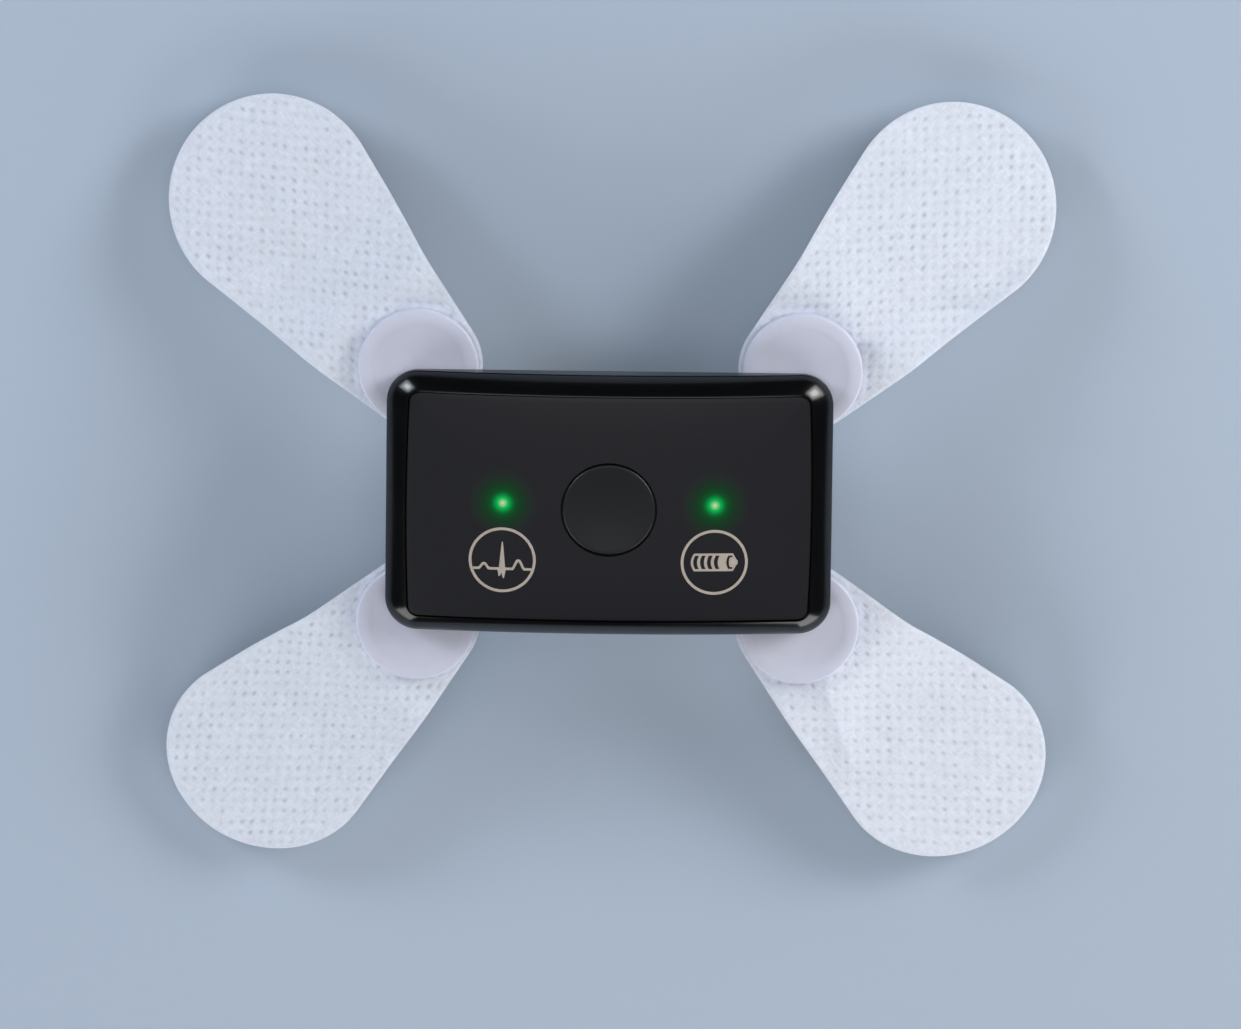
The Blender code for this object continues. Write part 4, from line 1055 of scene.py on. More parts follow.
class Electrode:
    """One electrode's place, outlines and levels."""

    def __init__(self, name, sizes):
        self.name = name
        self.sizes = sizes
        self.stud = round_node("snap_stud_" + name)[0]
        disc, self.disc_radius, self.disc_bottom, self.disc_top = round_node("snap_disc_" + name)
        away = disc[0] - self.stud[0], disc[1] - self.stud[1]
        self.stud_offset = math.hypot(*away)
        self.turn = math.atan2(away[1], away[0])
        self.fabric_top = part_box("fabric_patch_" + name)[1].z
        self.layer_top = self.fabric_top - sizes.fabric_thickness - film_gap
        tip = sizes.reach + sizes.wide_radius
        curve_points = 600
        self.curve_along = np.linspace(0.0, tip, curve_points)
        slope = self.slope(self.curve_along)
        step = self.curve_along[1]
        middle = 0.5 * (slope[1:] + slope[:-1])
        self.curve_out = np.concatenate([[0.0], np.cumsum(np.cos(middle)) * step])
        self.curve_depth = np.concatenate([[0.0], np.cumsum(np.sin(middle)) * step])

    def slope(self, along):
        """The downward slope: it eases in to the bend's slope, then settles to the lobe's."""
        sizes = self.sizes
        ease = smoothstep(along, sizes.bend_start, sizes.bend_end)
        settle = np.clip((along - sizes.bend_end) / (sizes.settle_end - sizes.bend_end), 0.0, 1.0)
        return ease * (sizes.bend_slope + (sizes.lobe_slope - sizes.bend_slope) * settle)

    def out(self, along):
        """Distance of places on the pattern from the stud's axis, once the patch has drooped."""
        bent = np.interp(along, self.curve_along, self.curve_out)
        return self.stud_offset + np.where(along < 0.0, along, bent)

    def fall(self, along, across):
        """How far the sheet lies below its level at the disc: its droop, creases and waves.

        A fold is a ridge or a valley: height exp(-(d / w)^1.3), with d the distance to its line and
        w a width that changes smoothly from the line's left side to its right side. The waves
        are slow sines, which fade in beyond the disc.
        """
        edge_fade, disc_fade = 2.5 * MM, (9.5 * MM, 14.0 * MM)
        wave_height, next_phase = 0.05 * MM, 1.7
        long_wave, cross_wave, slant_wave = 2.6 * MM, 3.1 * MM, 1.7 * MM
        depth = np.where(along < 0.0, 0.0, np.interp(along, self.curve_along, self.curve_depth))
        free = smoothstep(along, *disc_fade)
        inner = smoothstep(self.edge_distance(along, across), 0.0, edge_fade)
        for line, height, left_width, right_width in folds[self.name]:
            away, side = distance_to_line(along, across, np.array(line) * MM)
            width = (left_width * (1.0 + side) + right_width * (1.0 - side)) / 2.0 * MM
            depth = depth - inner * height * MM * np.exp(-(away / width) ** 1.3)
        phase = corner_names.index(self.name) * next_phase
        wave = (np.sin(along / long_wave + phase) * np.sin(across / cross_wave + 2.0 * phase)
                + 0.6 * np.sin((along + across) / slant_wave + 3.0 * phase))
        return depth + free * wave_height * wave

    def half_width(self, along, inset):
        """Half the pear's width: the narrow circle, its tangent line, then the wide circle."""
        narrow = self.sizes.narrow_radius - inset
        wide = self.sizes.wide_radius - inset
        lean = math.asin((wide - narrow) / self.sizes.reach)
        start = -narrow * math.sin(lean)
        end = self.sizes.reach - wide * math.sin(lean)
        line = narrow * math.cos(lean) + (along - start) * math.tan(lean)
        near = np.sqrt(np.maximum(narrow ** 2 - along ** 2, 0.0))
        far = np.sqrt(np.maximum(wide ** 2 - (along - self.sizes.reach) ** 2, 0.0))
        return np.where(along < start, near, np.where(along > end, far, line))

    def edge_distance(self, along, across):
        """Distance inside the pear's outline, by which of its three stretches is nearest."""
        narrow, wide, reach = self.sizes.narrow_radius, self.sizes.wide_radius, self.sizes.reach
        lean = (narrow - wide) / reach
        rise = math.sqrt(1.0 - lean ** 2)
        side = np.abs(across)
        place = along * rise - side * lean
        near = narrow - np.hypot(side, along)
        far = wide - np.hypot(side, along - reach)
        line = narrow - (side * rise + along * lean)
        return np.where(place < 0.0, near, np.where(place > rise * reach, far, line))

    def pear_grid(self, rows, columns, inset):
        """Places on the pattern from a square grid (u, v).

        The square becomes a disc by a = u sqrt(1 - v^2 / 2), b = v sqrt(1 - u^2 / 2). The disc
        becomes the pear: a runs from end to end, and b / sqrt(1 - a^2) is the share of the
        half width there.
        """
        u = np.linspace(-1.0, 1.0, rows)[:, None]
        v = np.linspace(-1.0, 1.0, columns)[None, :]
        a = u * np.sqrt(1.0 - v ** 2 / 2.0)
        b = v * np.sqrt(1.0 - u ** 2 / 2.0)
        low = -(self.sizes.narrow_radius - inset)
        high = self.sizes.reach + self.sizes.wide_radius - inset
        along = low + (a + 1.0) / 2.0 * (high - low)
        share = b / np.sqrt(np.maximum(1.0 - a ** 2, 1e-12))
        return along, np.clip(share, -1.0, 1.0) * self.half_width(along, inset)

    def placed(self, mesh):
        """Turns a mesh from the electrode's frame to its place."""
        mesh.transform(Matrix.Translation((*self.stud, 0.0))
                       @ Matrix.Rotation(self.turn, 4, "Z"))
        return mesh

    def layer(self, name, along, across, top, thickness):
        """A sheet that lies parallel to the fabric, with its upper face below a level."""
        plan = np.stack([self.out(along), across], -1)
        upper = top - self.fall(along, across)
        return slab(name, plan, upper, upper - thickness)[0]


def distance_to_line(along, across, line):
    """Distance from places on the pattern to an open line, and the side on which they lie.

    The side is the sine of the angle from the nearest stretch to the place: 1 straight to its
    left, -1 straight to its right, and between the two beyond the line's ends.
    """
    nearest = np.full(np.shape(along), np.inf)
    side = np.zeros(np.shape(along))
    for start, end in zip(line, line[1:]):
        run = end - start
        from_start = along - start[0], across - start[1]
        share = np.clip((from_start[0] * run[0] + from_start[1] * run[1]) / (run @ run), 0.0, 1.0)
        away = np.hypot(from_start[0] - share * run[0], from_start[1] - share * run[1])
        closer = away < nearest
        cross = (run[0] * from_start[1] - run[1] * from_start[0]) / np.hypot(*run)
        side = np.where(closer, cross / np.maximum(away, 1e-9), side)
        nearest = np.where(closer, away, nearest)
    return nearest, np.clip(side, -1.0, 1.0)


# The dots' grid on each patch: the two pitches in millimetres, and how many degrees the columns
# and rows lean, because the cloth is pulled a little when it is laid and cut
dot_grids = {
    "upper_right": (1.77, 1.73, -1.2, 2.4),
    "upper_left": (1.75, 1.74, 0.5, -4.3),
    "lower_left": (1.68, 1.92, -6.2, 4.4),
    "lower_right": (1.79, 2.02, 3.4, -5.4),
}


def embossing(electrode, along, across):
    """Strength of the embossed dots and of the hollows round them, both from 0 to 1.

    Each place looks at its nearest dot of a grid in line with the recorder, which is shifted and
    weakened by its own seeded amount. A dot is exp(-q^1.15), with q the squared distance in half
    lengths and half widths, and it is longer along the patch. The hollows are the sum of two
    cosines of the grid, so that the cloth stands up as pillows between the dots. Slow sines
    crowd the strong dots together, and all fade near the cut edge.
    """
    sizes = electrode.sizes
    turn = electrode.turn
    x = along * math.cos(turn) - across * math.sin(turn)
    y = along * math.sin(turn) + across * math.cos(turn)
    column_pitch, row_pitch, column_lean, row_lean = dot_grids[electrode.name]
    lean = np.radians([column_lean, 90.0 + row_lean])
    pitch = np.array([column_pitch, row_pitch]) * MM
    grid = np.stack([np.cos(lean), np.sin(lean)], -1) / pitch[:, None]
    place = np.einsum("ij,j...->i...", grid, np.stack([x, y]))
    nearest = np.round(place).astype(int)
    away_x, away_y = np.einsum("ij,j...->i...", np.linalg.inv(grid), place - nearest)
    number = corner_names.index(electrode.name)
    first_seed, most = 11, 64
    usual_strength, strength_spread, least_strength = 0.62, 0.24, 0.08
    shift_spread = 0.055 * MM
    draw = np.random.default_rng(first_seed + number)
    strength = np.clip(draw.normal(usual_strength, strength_spread, (most, most)),
                       least_strength, 1.0)
    shift = draw.normal(0.0, shift_spread, (2, most, most))
    column, row = nearest % most
    away_x = away_x - shift[0][column, row]
    away_y = away_y - shift[1][column, row]
    by_length = away_x * math.cos(turn) + away_y * math.sin(turn)
    by_width = away_y * math.cos(turn) - away_x * math.sin(turn)
    q = (by_length / (sizes.dot_length / 2)) ** 2 + (by_width / (sizes.dot_width / 2)) ** 2
    wave_x, wave_y, edge_fade = 3.9 * MM, 4.7 * MM, (0.3 * MM, 1.6 * MM)
    crowd = 0.9 + 0.25 * np.sin(x / wave_x + number) * np.sin(y / wave_y + 2.0 * number)
    inside = smoothstep(electrode.edge_distance(along, across), *edge_fade)
    dots = np.exp(-q ** 1.15) * np.clip(strength[column, row] * crowd, 0.0, 1.0) * inside
    hollows = (2.0 + np.cos(2.0 * math.pi * place).sum(axis=0)) / 4.0 * inside
    return dots, hollows


def opened_round(electrode, along, across):
    """Widens the grid round the stud's axis to a round hole for the eyelet's post.

    Rings of grid points round the axis move to circles that blend into the plain grid. Also
    returns which cells lie outside the hole.
    """
    ring_step = 0.14 * MM
    first_ring, last_ring = 3, 14
    middle = along.shape[1] // 2
    start = np.argmin(np.abs(along[:, middle] + electrode.stud_offset))
    row = np.abs(np.arange(along.shape[0]) - start)[:, None]
    column = np.abs(np.arange(along.shape[1]) - middle)[None, :]
    ring = np.maximum(row, column)
    x, y = along + electrode.stud_offset, across
    plain = np.maximum(np.hypot(x, y), weld_size)
    share = smoothstep(ring, first_ring, last_ring)
    radius = blend(post_hole_radius + (ring - first_ring) * ring_step, plain, share)
    moved = (ring >= first_ring) & (ring < last_ring)
    scale = np.where(moved, radius / plain, 1.0)
    cell = np.maximum(np.abs(np.arange(along.shape[0] - 1) + 0.5 - start)[:, None],
                      np.abs(np.arange(along.shape[1] - 1) + 0.5 - middle)[None, :])
    return x * scale - electrode.stud_offset, y * scale, cell > first_ring


def fabric_mesh(electrode):
    """The non-woven, with its dots pressed into the upper face and its cut edge thinned."""
    sizes = electrode.sizes
    along, across = electrode.pear_grid(patch_rows, patch_columns, 0.0)
    along, across, keep = opened_round(electrode, along, across)
    dots, hollows = embossing(electrode, along, across)
    edge_width, fuzz_height, first_seed = 0.28 * MM, 0.01 * MM, 5
    edge = np.exp(-(electrode.edge_distance(along, across) / edge_width) ** 2)
    draw = np.random.default_rng(first_seed + corner_names.index(electrode.name))
    fuzz = draw.normal(0.0, fuzz_height, along.shape)
    sheet = electrode.fabric_top - electrode.fall(along, across)
    pressed = sizes.dot_depth * dots + sizes.hollow_depth * hollows + sizes.edge_press * edge
    top = sheet - pressed + np.minimum(fuzz, 0.0)
    plan = np.stack([electrode.out(along), across], -1)
    mesh, kept = slab("fabric", plan, top, sheet - sizes.fabric_thickness, keep)
    values = np.concatenate([dots.reshape(-1)[kept], np.zeros(len(kept))])
    mesh.attributes.new("emboss", "FLOAT", "POINT").data.foreach_set("value", values)
    return mesh


def adhesive_mesh(electrode):
    """The adhesive layer, open round the eyelet, the track and the gel."""
    sizes = electrode.sizes
    along, across = electrode.pear_grid(layer_rows, layer_columns, sizes.adhesive_inset)
    mesh = electrode.layer("adhesive", along, across, electrode.layer_top,
                           sizes.adhesive_thickness)
    low, high = -overrun, electrode.layer_top + overrun
    gel_place = float(electrode.out(sizes.reach))
    half_track = sizes.conductor_width / 2 + fit_gap
    tools = bars([(eyelet_radius + fit_gap + film_gap, low, high)])
    tools += bars([(sizes.gel_radius + fit_gap, low, high)], [(gel_place, 0.0)], fine_turn_steps)
    tools.append(block("track", (0.0, -half_track, low), (gel_place, half_track, high)))
    return carve(mesh, tools)


def stations_grid(along, half, columns):
    """A grid over a shape given by its half widths at places along the pattern."""
    share = np.linspace(-1.0, 1.0, columns)[None, :]
    return np.repeat(along[:, None], columns, axis=1), half[:, None] * share


def conductor_mesh(electrode):
    """The printed track: a ring end round the stud, a straight run and a round pad."""
    sizes = electrode.sizes
    half = sizes.conductor_width / 2
    start = -electrode.stud_offset
    turn = np.linspace(0.0, math.pi, 2 * corner_steps + 1)
    ring = start - eyelet_radius * np.cos(turn)
    pad = sizes.reach - sizes.conductor_pad * np.cos(turn)
    run = np.linspace(ring[-1], pad[0], 2 * side_steps // 3)
    along = np.unique(np.concatenate([ring, run, pad]))
    width = np.maximum(
        np.sqrt(np.maximum(eyelet_radius ** 2 - (along - start) ** 2, 0.0)),
        np.sqrt(np.maximum(sizes.conductor_pad ** 2 - (along - sizes.reach) ** 2, 0.0)))
    width = np.where((along > start) & (along < sizes.reach), np.maximum(width, half), width)
    columns = 9
    top = electrode.layer_top
    mesh = electrode.layer("conductor", *stations_grid(along, width, columns), top,
                           sizes.conductor_thickness)
    return carve(mesh, bars([(post_hole_radius, top - overrun, top + overrun)]))


def gel_mesh(electrode):
    """The round gel pad below the track's end."""
    sizes = electrode.sizes
    turn = np.linspace(0.0, math.pi, 2 * corner_steps + 1)
    columns = 25
    grid = stations_grid(sizes.reach - sizes.gel_radius * np.cos(turn),
                         sizes.gel_radius * np.sin(turn), columns)
    top = electrode.layer_top - sizes.conductor_thickness - film_gap
    return electrode.layer("gel", *grid, top, sizes.gel_thickness)


def disc_mesh(electrode):
    """The snap disc: a rounded rim, a sloping band, a flat top and a seat for the stud."""
    sizes = electrode.sizes
    radius, bottom, top = electrode.disc_radius, electrode.disc_bottom, electrode.disc_top
    band_blend, seat_radius, seat_depth = 9.0 * MM, 2.75 * MM, 0.75 * MM
    profile = soft_profile([
        (0.0, bottom, 0), (radius, bottom, sizes.disc_round),
        (radius, top - sizes.disc_slope_drop, sizes.disc_round),
        (radius - sizes.disc_slope_width, top, band_blend)])
    profile.append((0.0, top))
    mesh = turned("disc", profile, fine_turn_steps, (electrode.stud_offset, 0.0))
    return carve(mesh, bars([(post_hole_radius, bottom - overrun, top - seat_depth),
                             (seat_radius, top - seat_depth, top + overrun)]))


def stud_mesh(electrode):
    """The snap stud: a flange, a neck and a rounded hollow head.

    The head's side is half an ellipse that swells beyond the neck.
    """
    low, high = round_node("snap_stud_" + electrode.name)[2:]
    head_radius, neck_radius, bore_radius = 1.95 * MM, 1.45 * MM, 1.1 * MM
    flange_radius, flange_top = 2.6 * MM, low + 0.3 * MM
    half_head, cap_thickness = 0.6 * MM, 0.45 * MM
    bore_round, edge_round = 0.08 * MM, 0.12 * MM
    profile = soft_profile([
        (bore_radius, low, bore_round), (flange_radius, low, edge_round),
        (flange_radius, flange_top, edge_round), (neck_radius, flange_top, 0)])
    profile += [(neck_radius + (head_radius - neck_radius) * math.cos(turn),
                 high - half_head + half_head * math.sin(turn))
                for turn in np.linspace(-0.5 * math.pi, 0.5 * math.pi, 2 * fillet_steps + 1)]
    profile += [(0.0, high), (0.0, high - cap_thickness), (bore_radius, high - cap_thickness)]
    return turned("stud", profile, small_turn_steps)


def eyelet_mesh(electrode):
    """The eyelet: a flange below the fabric and a post that is riveted up into the stud."""
    low, high = round_node("eyelet_" + electrode.name)[2:]
    flange_top, post_radius = low + 0.3 * MM, 0.8 * MM
    dimple_top, dimple_radius, dimple_edge = low + 0.05 * MM, 0.9 * MM, 1.2 * MM
    dimple_round, edge_round, neck_round, tip_round = 0.2 * MM, 0.12 * MM, 0.1 * MM, 0.15 * MM
    profile = soft_profile([
        (0.0, dimple_top, 0), (dimple_radius, dimple_top, dimple_round),
        (dimple_edge, low, dimple_round), (eyelet_radius, low, edge_round),
        (eyelet_radius, flange_top, edge_round), (post_radius, flange_top, neck_round),
        (post_radius, high, tip_round)])
    profile.append((0.0, high))
    return turned("eyelet", profile, small_turn_steps)


def slot_tool(place, half_x, half_y, level, depth):
    """A box that cuts a slot of a depth into a foot at a level."""
    return block("slot", (place[0] - half_x, place[1] - half_y, level - depth),
                 (place[0] + half_x, place[1] + half_y, level + depth))


def socket_mesh(name):
    """A turned snap socket, open downwards, with a rolled lip and four spring slits."""
    place, radius, foot, top = round_node("snap_socket_" + name)
    wall, half_slit, slit_depth = 0.35 * MM, 0.2 * MM, 1.1 * MM
    mouth_round, lip_round, top_round, inner_round = 0.12 * MM, 0.15 * MM, 0.3 * MM, 0.1 * MM
    profile = soft_profile([
        (radius - wall, foot, mouth_round), (radius, foot, lip_round), (radius, top, top_round),
        (0.0, top, 0), (0.0, top - wall, 0), (radius - wall, top - wall, inner_round)])
    mesh = turned("socket", profile, small_turn_steps, place)
    reach = radius + overrun
    return carve(mesh, [slot_tool(place, reach, half_slit, foot, slit_depth),
                        slot_tool(place, half_slit, reach, foot, slit_depth)])


def screw_mesh(name):
    """A slotted screw: a soft-edged head with its slot, and a threaded shank.

    The thread is a row of ridges: the radius rises and falls with a triangle wave.
    """
    place, radius, foot, top = round_node("cover_screw_" + name)
    thread_pitch, thread_depth = 0.3 * MM, 0.09 * MM
    core_radius = screw_shank_radius - thread_depth
    half_slot, slot_depth = 0.15 * MM, 0.22 * MM
    head_round, seat_round = 0.12 * MM, 0.05 * MM
    neck = foot + screw_head_height
    profile = soft_profile([(0.0, foot, 0), (radius, foot, head_round),
                            (radius, neck, seat_round), (core_radius, neck, 0)])
    ridges = int((top - neck) / thread_pitch)
    for level in neck + thread_pitch * np.arange(ridges):
        profile += [(core_radius, level + 0.3 * thread_pitch),
                    (screw_shank_radius, level + 0.5 * thread_pitch),
                    (core_radius, level + 0.7 * thread_pitch)]
    profile += [(core_radius, top), (0.0, top)]
    mesh = turned("screw", profile, small_turn_steps, place)
    return carve(mesh, [slot_tool(place, radius + overrun, half_slot, foot, slot_depth)])


# Operators

def add_to_electrode(context, corner, *rows):
    """Adds pieces to an electrode: name, shape, material, body, slot and replaced node of each."""
    electrode = Electrode(corner, context.scene.holter_patch)
    for name, shape, material, body, slot, node in rows:
        add_piece(f"{name}_{corner}", electrode.placed(shape(electrode)), material,
                  f"{body}_{corner}", slot, f"{node}_{corner}")


def nickel_finish(colours):
    """The one nickel finish of every snap and screw."""
    return bpy.data.materials.get("stamped_nickel_plate") or plated_nickel(colours)


class HOLTER_OT_front_housing(bpy.types.Operator):
    """Make the polished bezel frame"""

    bl_idname = "holter.front_housing"
    bl_label = "Front Housing"

    def execute(self, context):
        recorder = Recorder(context.scene.holter_recorder)
        gloss = polished_pc_abs(context.scene.holter_finish)
        add_piece("bezel_frame", housing_mesh(recorder), gloss, "recorder", "gloss_black_housing",
                  "front_housing")
        return {"FINISHED"}


class HOLTER_OT_front_panel(bpy.types.Operator):
    """Make the arched satin panel and the event key in its middle"""

    bl_idname = "holter.front_panel"
    bl_label = "Panel and Event Key"

    def execute(self, context):
        recorder = Recorder(context.scene.holter_recorder)
        colours = context.scene.holter_finish
        satin = satin_smoke("satin_smoke_panel", colours.panel, colours, True)
        add_piece("arched_panel", panel_mesh(recorder), satin, "recorder", "satin_panel",
                  "front_panel")
        key_satin = satin_smoke("satin_key", colours.key, colours, False)
        add_piece("event_key", key_mesh(recorder), key_satin, "event_key", "satin_key",
                  "event_button")
        return {"FINISHED"}


class HOLTER_OT_lamps(bpy.types.Operator):
    """Make the two lit light guides"""

    bl_idname = "holter.lamps"
    bl_label = "Light Guides"

    def execute(self, context):
        recorder = Recorder(context.scene.holter_recorder)
        lens = lit_lens(context.scene.holter_finish)
        for place, name in zip(lamp_places, ("heart", "battery")):
            add_piece("lit_guide_" + name, guide_mesh(recorder, place), lens, "recorder",
                      "green_lens", "light_guide_" + name)
        return {"FINISHED"}


class HOLTER_OT_symbols(bpy.types.Operator):
    """Print the heart-beat and battery symbols on the panel"""

    bl_idname = "holter.symbols"
    bl_label = "Printed Symbols"

    def execute(self, context):
        recorder = Recorder(context.scene.holter_recorder)
        ink = pad_ink(context.scene.holter_finish)
        y = -recorder.sizes.symbol_y
        for x, name, shape in (
                (-lamp_x, "heart", trace_symbol), (lamp_x, "battery", battery_symbol)):
            mesh = joined("symbol", [ring_symbol(recorder, (x, y)), shape(recorder, (x, y))])
            add_piece("symbol_" + name, mesh, ink, "recorder", "panel_ink")
        return {"FINISHED"}


class HOLTER_OT_rear_cover(bpy.types.Operator):
    """Make the rear cover with its snap mouths and screws"""

    bl_idname = "holter.rear_cover"
    bl_label = "Rear Cover and Screws"

    def execute(self, context):
        recorder = Recorder(context.scene.holter_recorder)
        colours = context.scene.holter_finish
        add_piece("rear_tray", cover_mesh(recorder), moulded_abs(colours), "recorder",
                  "rear_plastic", "rear_cover")
        nickel = nickel_finish(colours)
        for name in corner_names:
            add_piece("slotted_screw_" + name, screw_mesh(name), nickel, "recorder",
                      "nickel_steel", "cover_screw_" + name)
        return {"FINISHED"}


class HOLTER_OT_snaps(bpy.types.Operator):
    """Make the snap sockets, studs and eyelets"""

    bl_idname = "holter.snaps"
    bl_label = "Snaps"

    def execute(self, context):
        nickel = nickel_finish(context.scene.holter_finish)
        for name in corner_names:
            add_piece("spring_socket_" + name, socket_mesh(name), nickel, "recorder",
                      "nickel_steel", "snap_socket_" + name)
            add_to_electrode(
                context, name,
                ("press_stud", stud_mesh, nickel, "snap", "nickel_steel", "snap_stud"),
                ("rivet_eyelet", eyelet_mesh, nickel, "snap", "nickel_steel", "eyelet"))
        return {"FINISHED"}


class HOLTER_OT_discs(bpy.types.Operator):
    """Make the four snap discs"""

    bl_idname = "holter.discs"
    bl_label = "Snap Discs"

    def execute(self, context):
        waxy = moulded_polyethylene(context.scene.holter_finish)
        for name in corner_names:
            add_to_electrode(context, name, (
                "moulded_disc", disc_mesh, waxy, "patch", "lavender_disc", "snap_disc"))
        return {"FINISHED"}


class HOLTER_OT_layers(bpy.types.Operator):
    """Make the adhesive, track and gel under each patch"""

    bl_idname = "holter.layers"
    bl_label = "Adhesive, Tracks and Gel"

    def execute(self, context):
        colours = context.scene.holter_finish
        layers = (
            ("adhesive_layer", adhesive_mesh, skin_adhesive(colours), "patch", "skin_adhesive",
             "skin_adhesive"),
            ("printed_track", conductor_mesh, silver_ink(colours), "patch", "silver_ink",
             "conductor_track"),
            ("hydrogel_pad", gel_mesh, wet_hydrogel(colours), "patch", "hydrogel", "gel_pad"),
        )
        for name in corner_names:
            add_to_electrode(context, name, *layers)
        return {"FINISHED"}


class HOLTER_OT_patches(bpy.types.Operator):
    """Make the four embossed non-woven patches"""

    bl_idname = "holter.patches"
    bl_label = "Non-woven Patches"

    def execute(self, context):
        fibres = embossed_nonwoven(context.scene.holter_finish)
        for name in corner_names:
            add_to_electrode(context, name, (
                "nonwoven_patch", fabric_mesh, fibres, "patch", "white_nonwoven", "fabric_patch"))
        return {"FINISHED"}


class HOLTER_OT_inner_parts(bpy.types.Operator):
    """Finish the board, its parts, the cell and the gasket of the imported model"""

    bl_idname = "holter.inner_parts"
    bl_label = "Inner Parts"

    def execute(self, context):
        colours = context.scene.holter_finish
        for finish, nodes in (
                (solder_mask, ["main_board"]), (cell_foil, ["battery_cell"]),
                (silicone_rubber, ["housing_gasket"]), (lamp_body, ["led_heart", "led_battery"]),
                (chip_epoxy, ["processor_chip", "memory_chip", "ecg_front_end_chip",
                              "event_switch"])):
            material = finish(colours)
            for node in nodes:
                for holder in frame["nodes"][node].material_slots:
                    holder.material = material
        return {"FINISHED"}


class HOLTER_OT_stage(bpy.types.Operator):
    """Set the floor, the lights and the camera"""

    bl_idname = "holter.stage"
    bl_label = "Stage"

    def execute(self, context):
        set_floor(context.scene.holter_finish)
        set_world(context.scene.holter_finish)
        for softbox in softboxes:
            add_softbox(*softbox)
        set_camera()
        context.scene.view_settings.view_transform = "Standard"
        return {"FINISHED"}


# Stage

def set_floor(colours):
    """A wide pale floor, just below the lowest place that a pulled-off patch reaches.

    To the camera it turns into the pale wall away from the part, before it passes the lamps.
    """
    pulls = [joint["range_m"][1] for joint in frame["joints"] if joint["type"] == "slide"]
    level = cad_bounds[0].z - max(pulls) - fit_gap
    half, cloud_size, fade_start, fade_end = 4.0, 1 / 1.5, 0.2, 0.6
    mesh = bpy.data.meshes.new("floor")
    mesh.from_pydata([(-half, -half, level), (half, -half, level), (half, half, level),
                      (-half, half, level)], [], [[0, 1, 2, 3]])
    finish = Finish("matte_floor", colours.floor, {"Roughness": 0.8})
    finish.shade(finish.texture("Noise", cloud_size, {"Detail": 2.0}), 0.97, 1.03)
    reach = finish.add("VectorMath", {"operation": "LENGTH"}, {0: finish.place})
    fade = finish.add("MapRange", {
        "interpolation_type": "SMOOTHSTEP", "From Min": fade_start, "From Max": fade_end},
        {"Value": reach.outputs["Value"]})
    path = finish.add("LightPath")
    seen = finish.add("Math", {"operation": "MULTIPLY"},
                      {0: fade.outputs["Result"], 1: path.outputs["Is Camera Ray"]})
    wall = finish.add("Emission", {"Color": shaded(colours.wall, 1.0)})
    mixed = finish.add("MixShader", None, {
        0: seen.outputs[0], 1: finish.shader.outputs[0], 2: wall.outputs[0]})
    output = finish.tree.nodes["Material Output"]
    finish.tree.links.new(mixed.outputs[0], output.inputs["Surface"])
    mesh.materials.append(finish.material)
    link("floor", mesh)


def set_world(colours):
    """Pale walls all round that turn dark overhead, as in a studio with a black ceiling.

    The camera itself sees the pale wall in every direction.
    """
    dark_from, ceiling_shade = 0.12, 0.05
    world = bpy.data.worlds.new("studio")
    bpy.context.scene.world = world
    world.use_nodes = True
    tree = world.node_tree
    place = add_node(tree, "TexCoord")
    parts = add_node(tree, "SeparateXYZ", None, {0: place.outputs["Generated"]})
    rise = add_node(tree, "MapRange", {
        "interpolation_type": "SMOOTHSTEP", "From Min": 0.0, "From Max": dark_from},
        {"Value": parts.outputs["Z"]})
    path = add_node(tree, "LightPath")
    unseen = add_node(tree, "Math", {"operation": "SUBTRACT", 0: 1.0},
                      {1: path.outputs["Is Camera Ray"]})
    dark = add_node(tree, "Math", {"operation": "MULTIPLY"},
                    {0: rise.outputs["Result"], 1: unseen.outputs[0]})
    ends = {"data_type": "RGBA", 6: shaded(colours.wall, 1.0),
            7: shaded(colours.wall, ceiling_shade)}
    mix = add_node(tree, "Mix", ends, {0: dark.outputs[0]})
    tree.links.new(mix.outputs[2], tree.nodes["Background"].inputs["Color"])


# Softboxes behind the upper patches, one overhead and two low ones in front: azimuth, elevation,
# distance, sizes, power and colour. The two behind have a brighter middle, so that their glints
# on the bezel fade outwards.
cool, neutral = (0.84, 0.92, 1.0), (1.0, 1.0, 1.0)
softboxes = (
    ("left_softbox", 145.5, 25, 0.8, (0.36, 0.36), 1.9, cool),
    ("left_softbox_middle", 145.5, 25, 0.79, (0.17, 0.17), 0.9, cool),
    ("right_softbox", 28.5, 26, 0.8, (0.44, 0.44), 2.9, neutral),
    ("right_softbox_middle", 28.5, 26, 0.79, (0.22, 0.22), 1.35, neutral),
    ("overhead_softbox", 90, 79, 1.0, (0.6, 0.6), 1.5, neutral),
    ("front_left_softbox", -132, 25, 1.0, (0.6, 0.62), 3.7, neutral),
    ("front_right_softbox", -56, 20, 1.0, (0.7, 0.56), 4.4, neutral),
)


def add_softbox(name, azimuth, elevation, distance, size, power, tint):
    """A softbox that faces the recorder from a direction, wide along its level side."""
    turn, rise = math.radians(azimuth), math.radians(elevation)
    direction = Vector((math.cos(turn) * math.cos(rise), math.sin(turn) * math.cos(rise),
                        math.sin(rise)))
    light = bpy.data.lights.new(name, "AREA")
    light.shape = "RECTANGLE"
    light.size, light.size_y = size
    light.energy, light.color = power, tint
    lamp = link(name, light)
    lamp.location = direction * distance
    lamp.rotation_euler = direction.to_track_quat("Z", "Y").to_euler()
    lamp.visible_camera = False


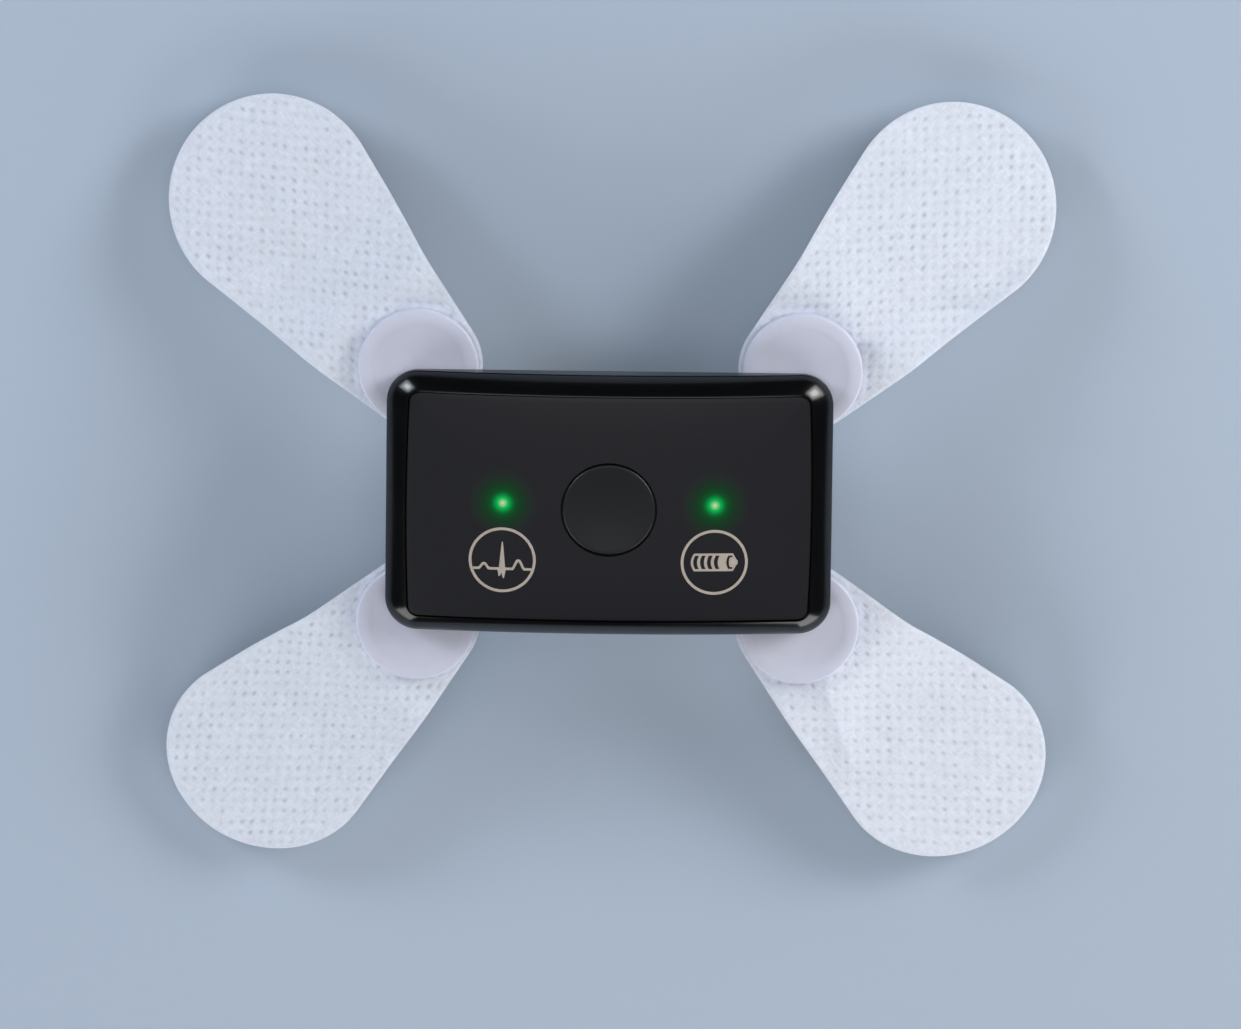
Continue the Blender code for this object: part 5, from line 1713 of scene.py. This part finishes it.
def set_camera():
    """The photograph's view: tilted towards the recorder's upper side and rolled a little.

    The lens follows from the picture's scale in pixels per metre at the seam's middle, and the
    aim is shifted so that this point lies where the photograph has it.
    """
    picture_width, picture_height = 1241, 1029
    scale = 6.2 / MM
    distance, tilt, roll = 2.5, math.radians(15.0), math.radians(0.7)
    point = Vector((0.0, 0.0, rim_level))
    point_pixel = (608.9, 505.0)
    camera = link("camera", bpy.data.cameras.new("camera"))
    camera.data.sensor_width = 36.0
    camera.data.lens = camera.data.sensor_width * scale * distance / picture_width
    back = Vector((0.0, math.sin(tilt), math.cos(tilt)))
    flat_up = Vector((0.0, math.cos(tilt), -math.sin(tilt)))
    right = flat_up.cross(back) * math.cos(roll) + flat_up * math.sin(roll)
    up = back.cross(right)
    shift_right = (picture_width / 2 - point_pixel[0]) / scale
    shift_up = (point_pixel[1] - picture_height / 2) / scale
    aim = point + right * shift_right + up * shift_up
    turn = Matrix((right, up, back)).transposed().to_4x4()
    camera.matrix_world = Matrix.Translation(aim + back * distance) @ turn
    bpy.context.scene.camera = camera


# Sidebar

makers = (
    HOLTER_OT_front_housing, HOLTER_OT_front_panel, HOLTER_OT_lamps, HOLTER_OT_symbols,
    HOLTER_OT_rear_cover, HOLTER_OT_snaps, HOLTER_OT_discs, HOLTER_OT_layers,
    HOLTER_OT_patches, HOLTER_OT_inner_parts, HOLTER_OT_stage,
)
settings_groups = {
    "holter_recorder": RecorderSizes, "holter_patch": PatchSizes, "holter_finish": FinishColours}


class HOLTER_PT_sidebar(bpy.types.Panel):
    """Lists the makers and their settings"""

    bl_idname = "HOLTER_PT_sidebar"
    bl_label = "Holter Monitor"
    bl_space_type = "VIEW_3D"
    bl_region_type = "UI"
    bl_category = "Holter"

    def draw(self, context):
        for maker in makers:
            self.layout.operator(maker.bl_idname)
        for name, group in settings_groups.items():
            box = self.layout.box()
            for setting in group.__annotations__:
                box.prop(getattr(context.scene, name), setting)


def register():
    for item in (*settings_groups.values(), *makers, HOLTER_PT_sidebar):
        bpy.utils.register_class(item)
    for name, group in settings_groups.items():
        setattr(bpy.types.Scene, name, PointerProperty(type=group))


def unregister():
    for name in settings_groups:
        delattr(bpy.types.Scene, name)
    for item in reversed((*settings_groups.values(), *makers, HOLTER_PT_sidebar)):
        bpy.utils.unregister_class(item)


def main():
    """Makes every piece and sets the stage."""
    register()
    bpy.ops.holter.front_housing()
    bpy.ops.holter.front_panel()
    bpy.ops.holter.lamps()
    bpy.ops.holter.symbols()
    bpy.ops.holter.rear_cover()
    bpy.ops.holter.snaps()
    bpy.ops.holter.discs()
    bpy.ops.holter.layers()
    bpy.ops.holter.patches()
    bpy.ops.holter.inner_parts()
    bpy.ops.holter.stage()


if __name__ == "__main__":
    main()
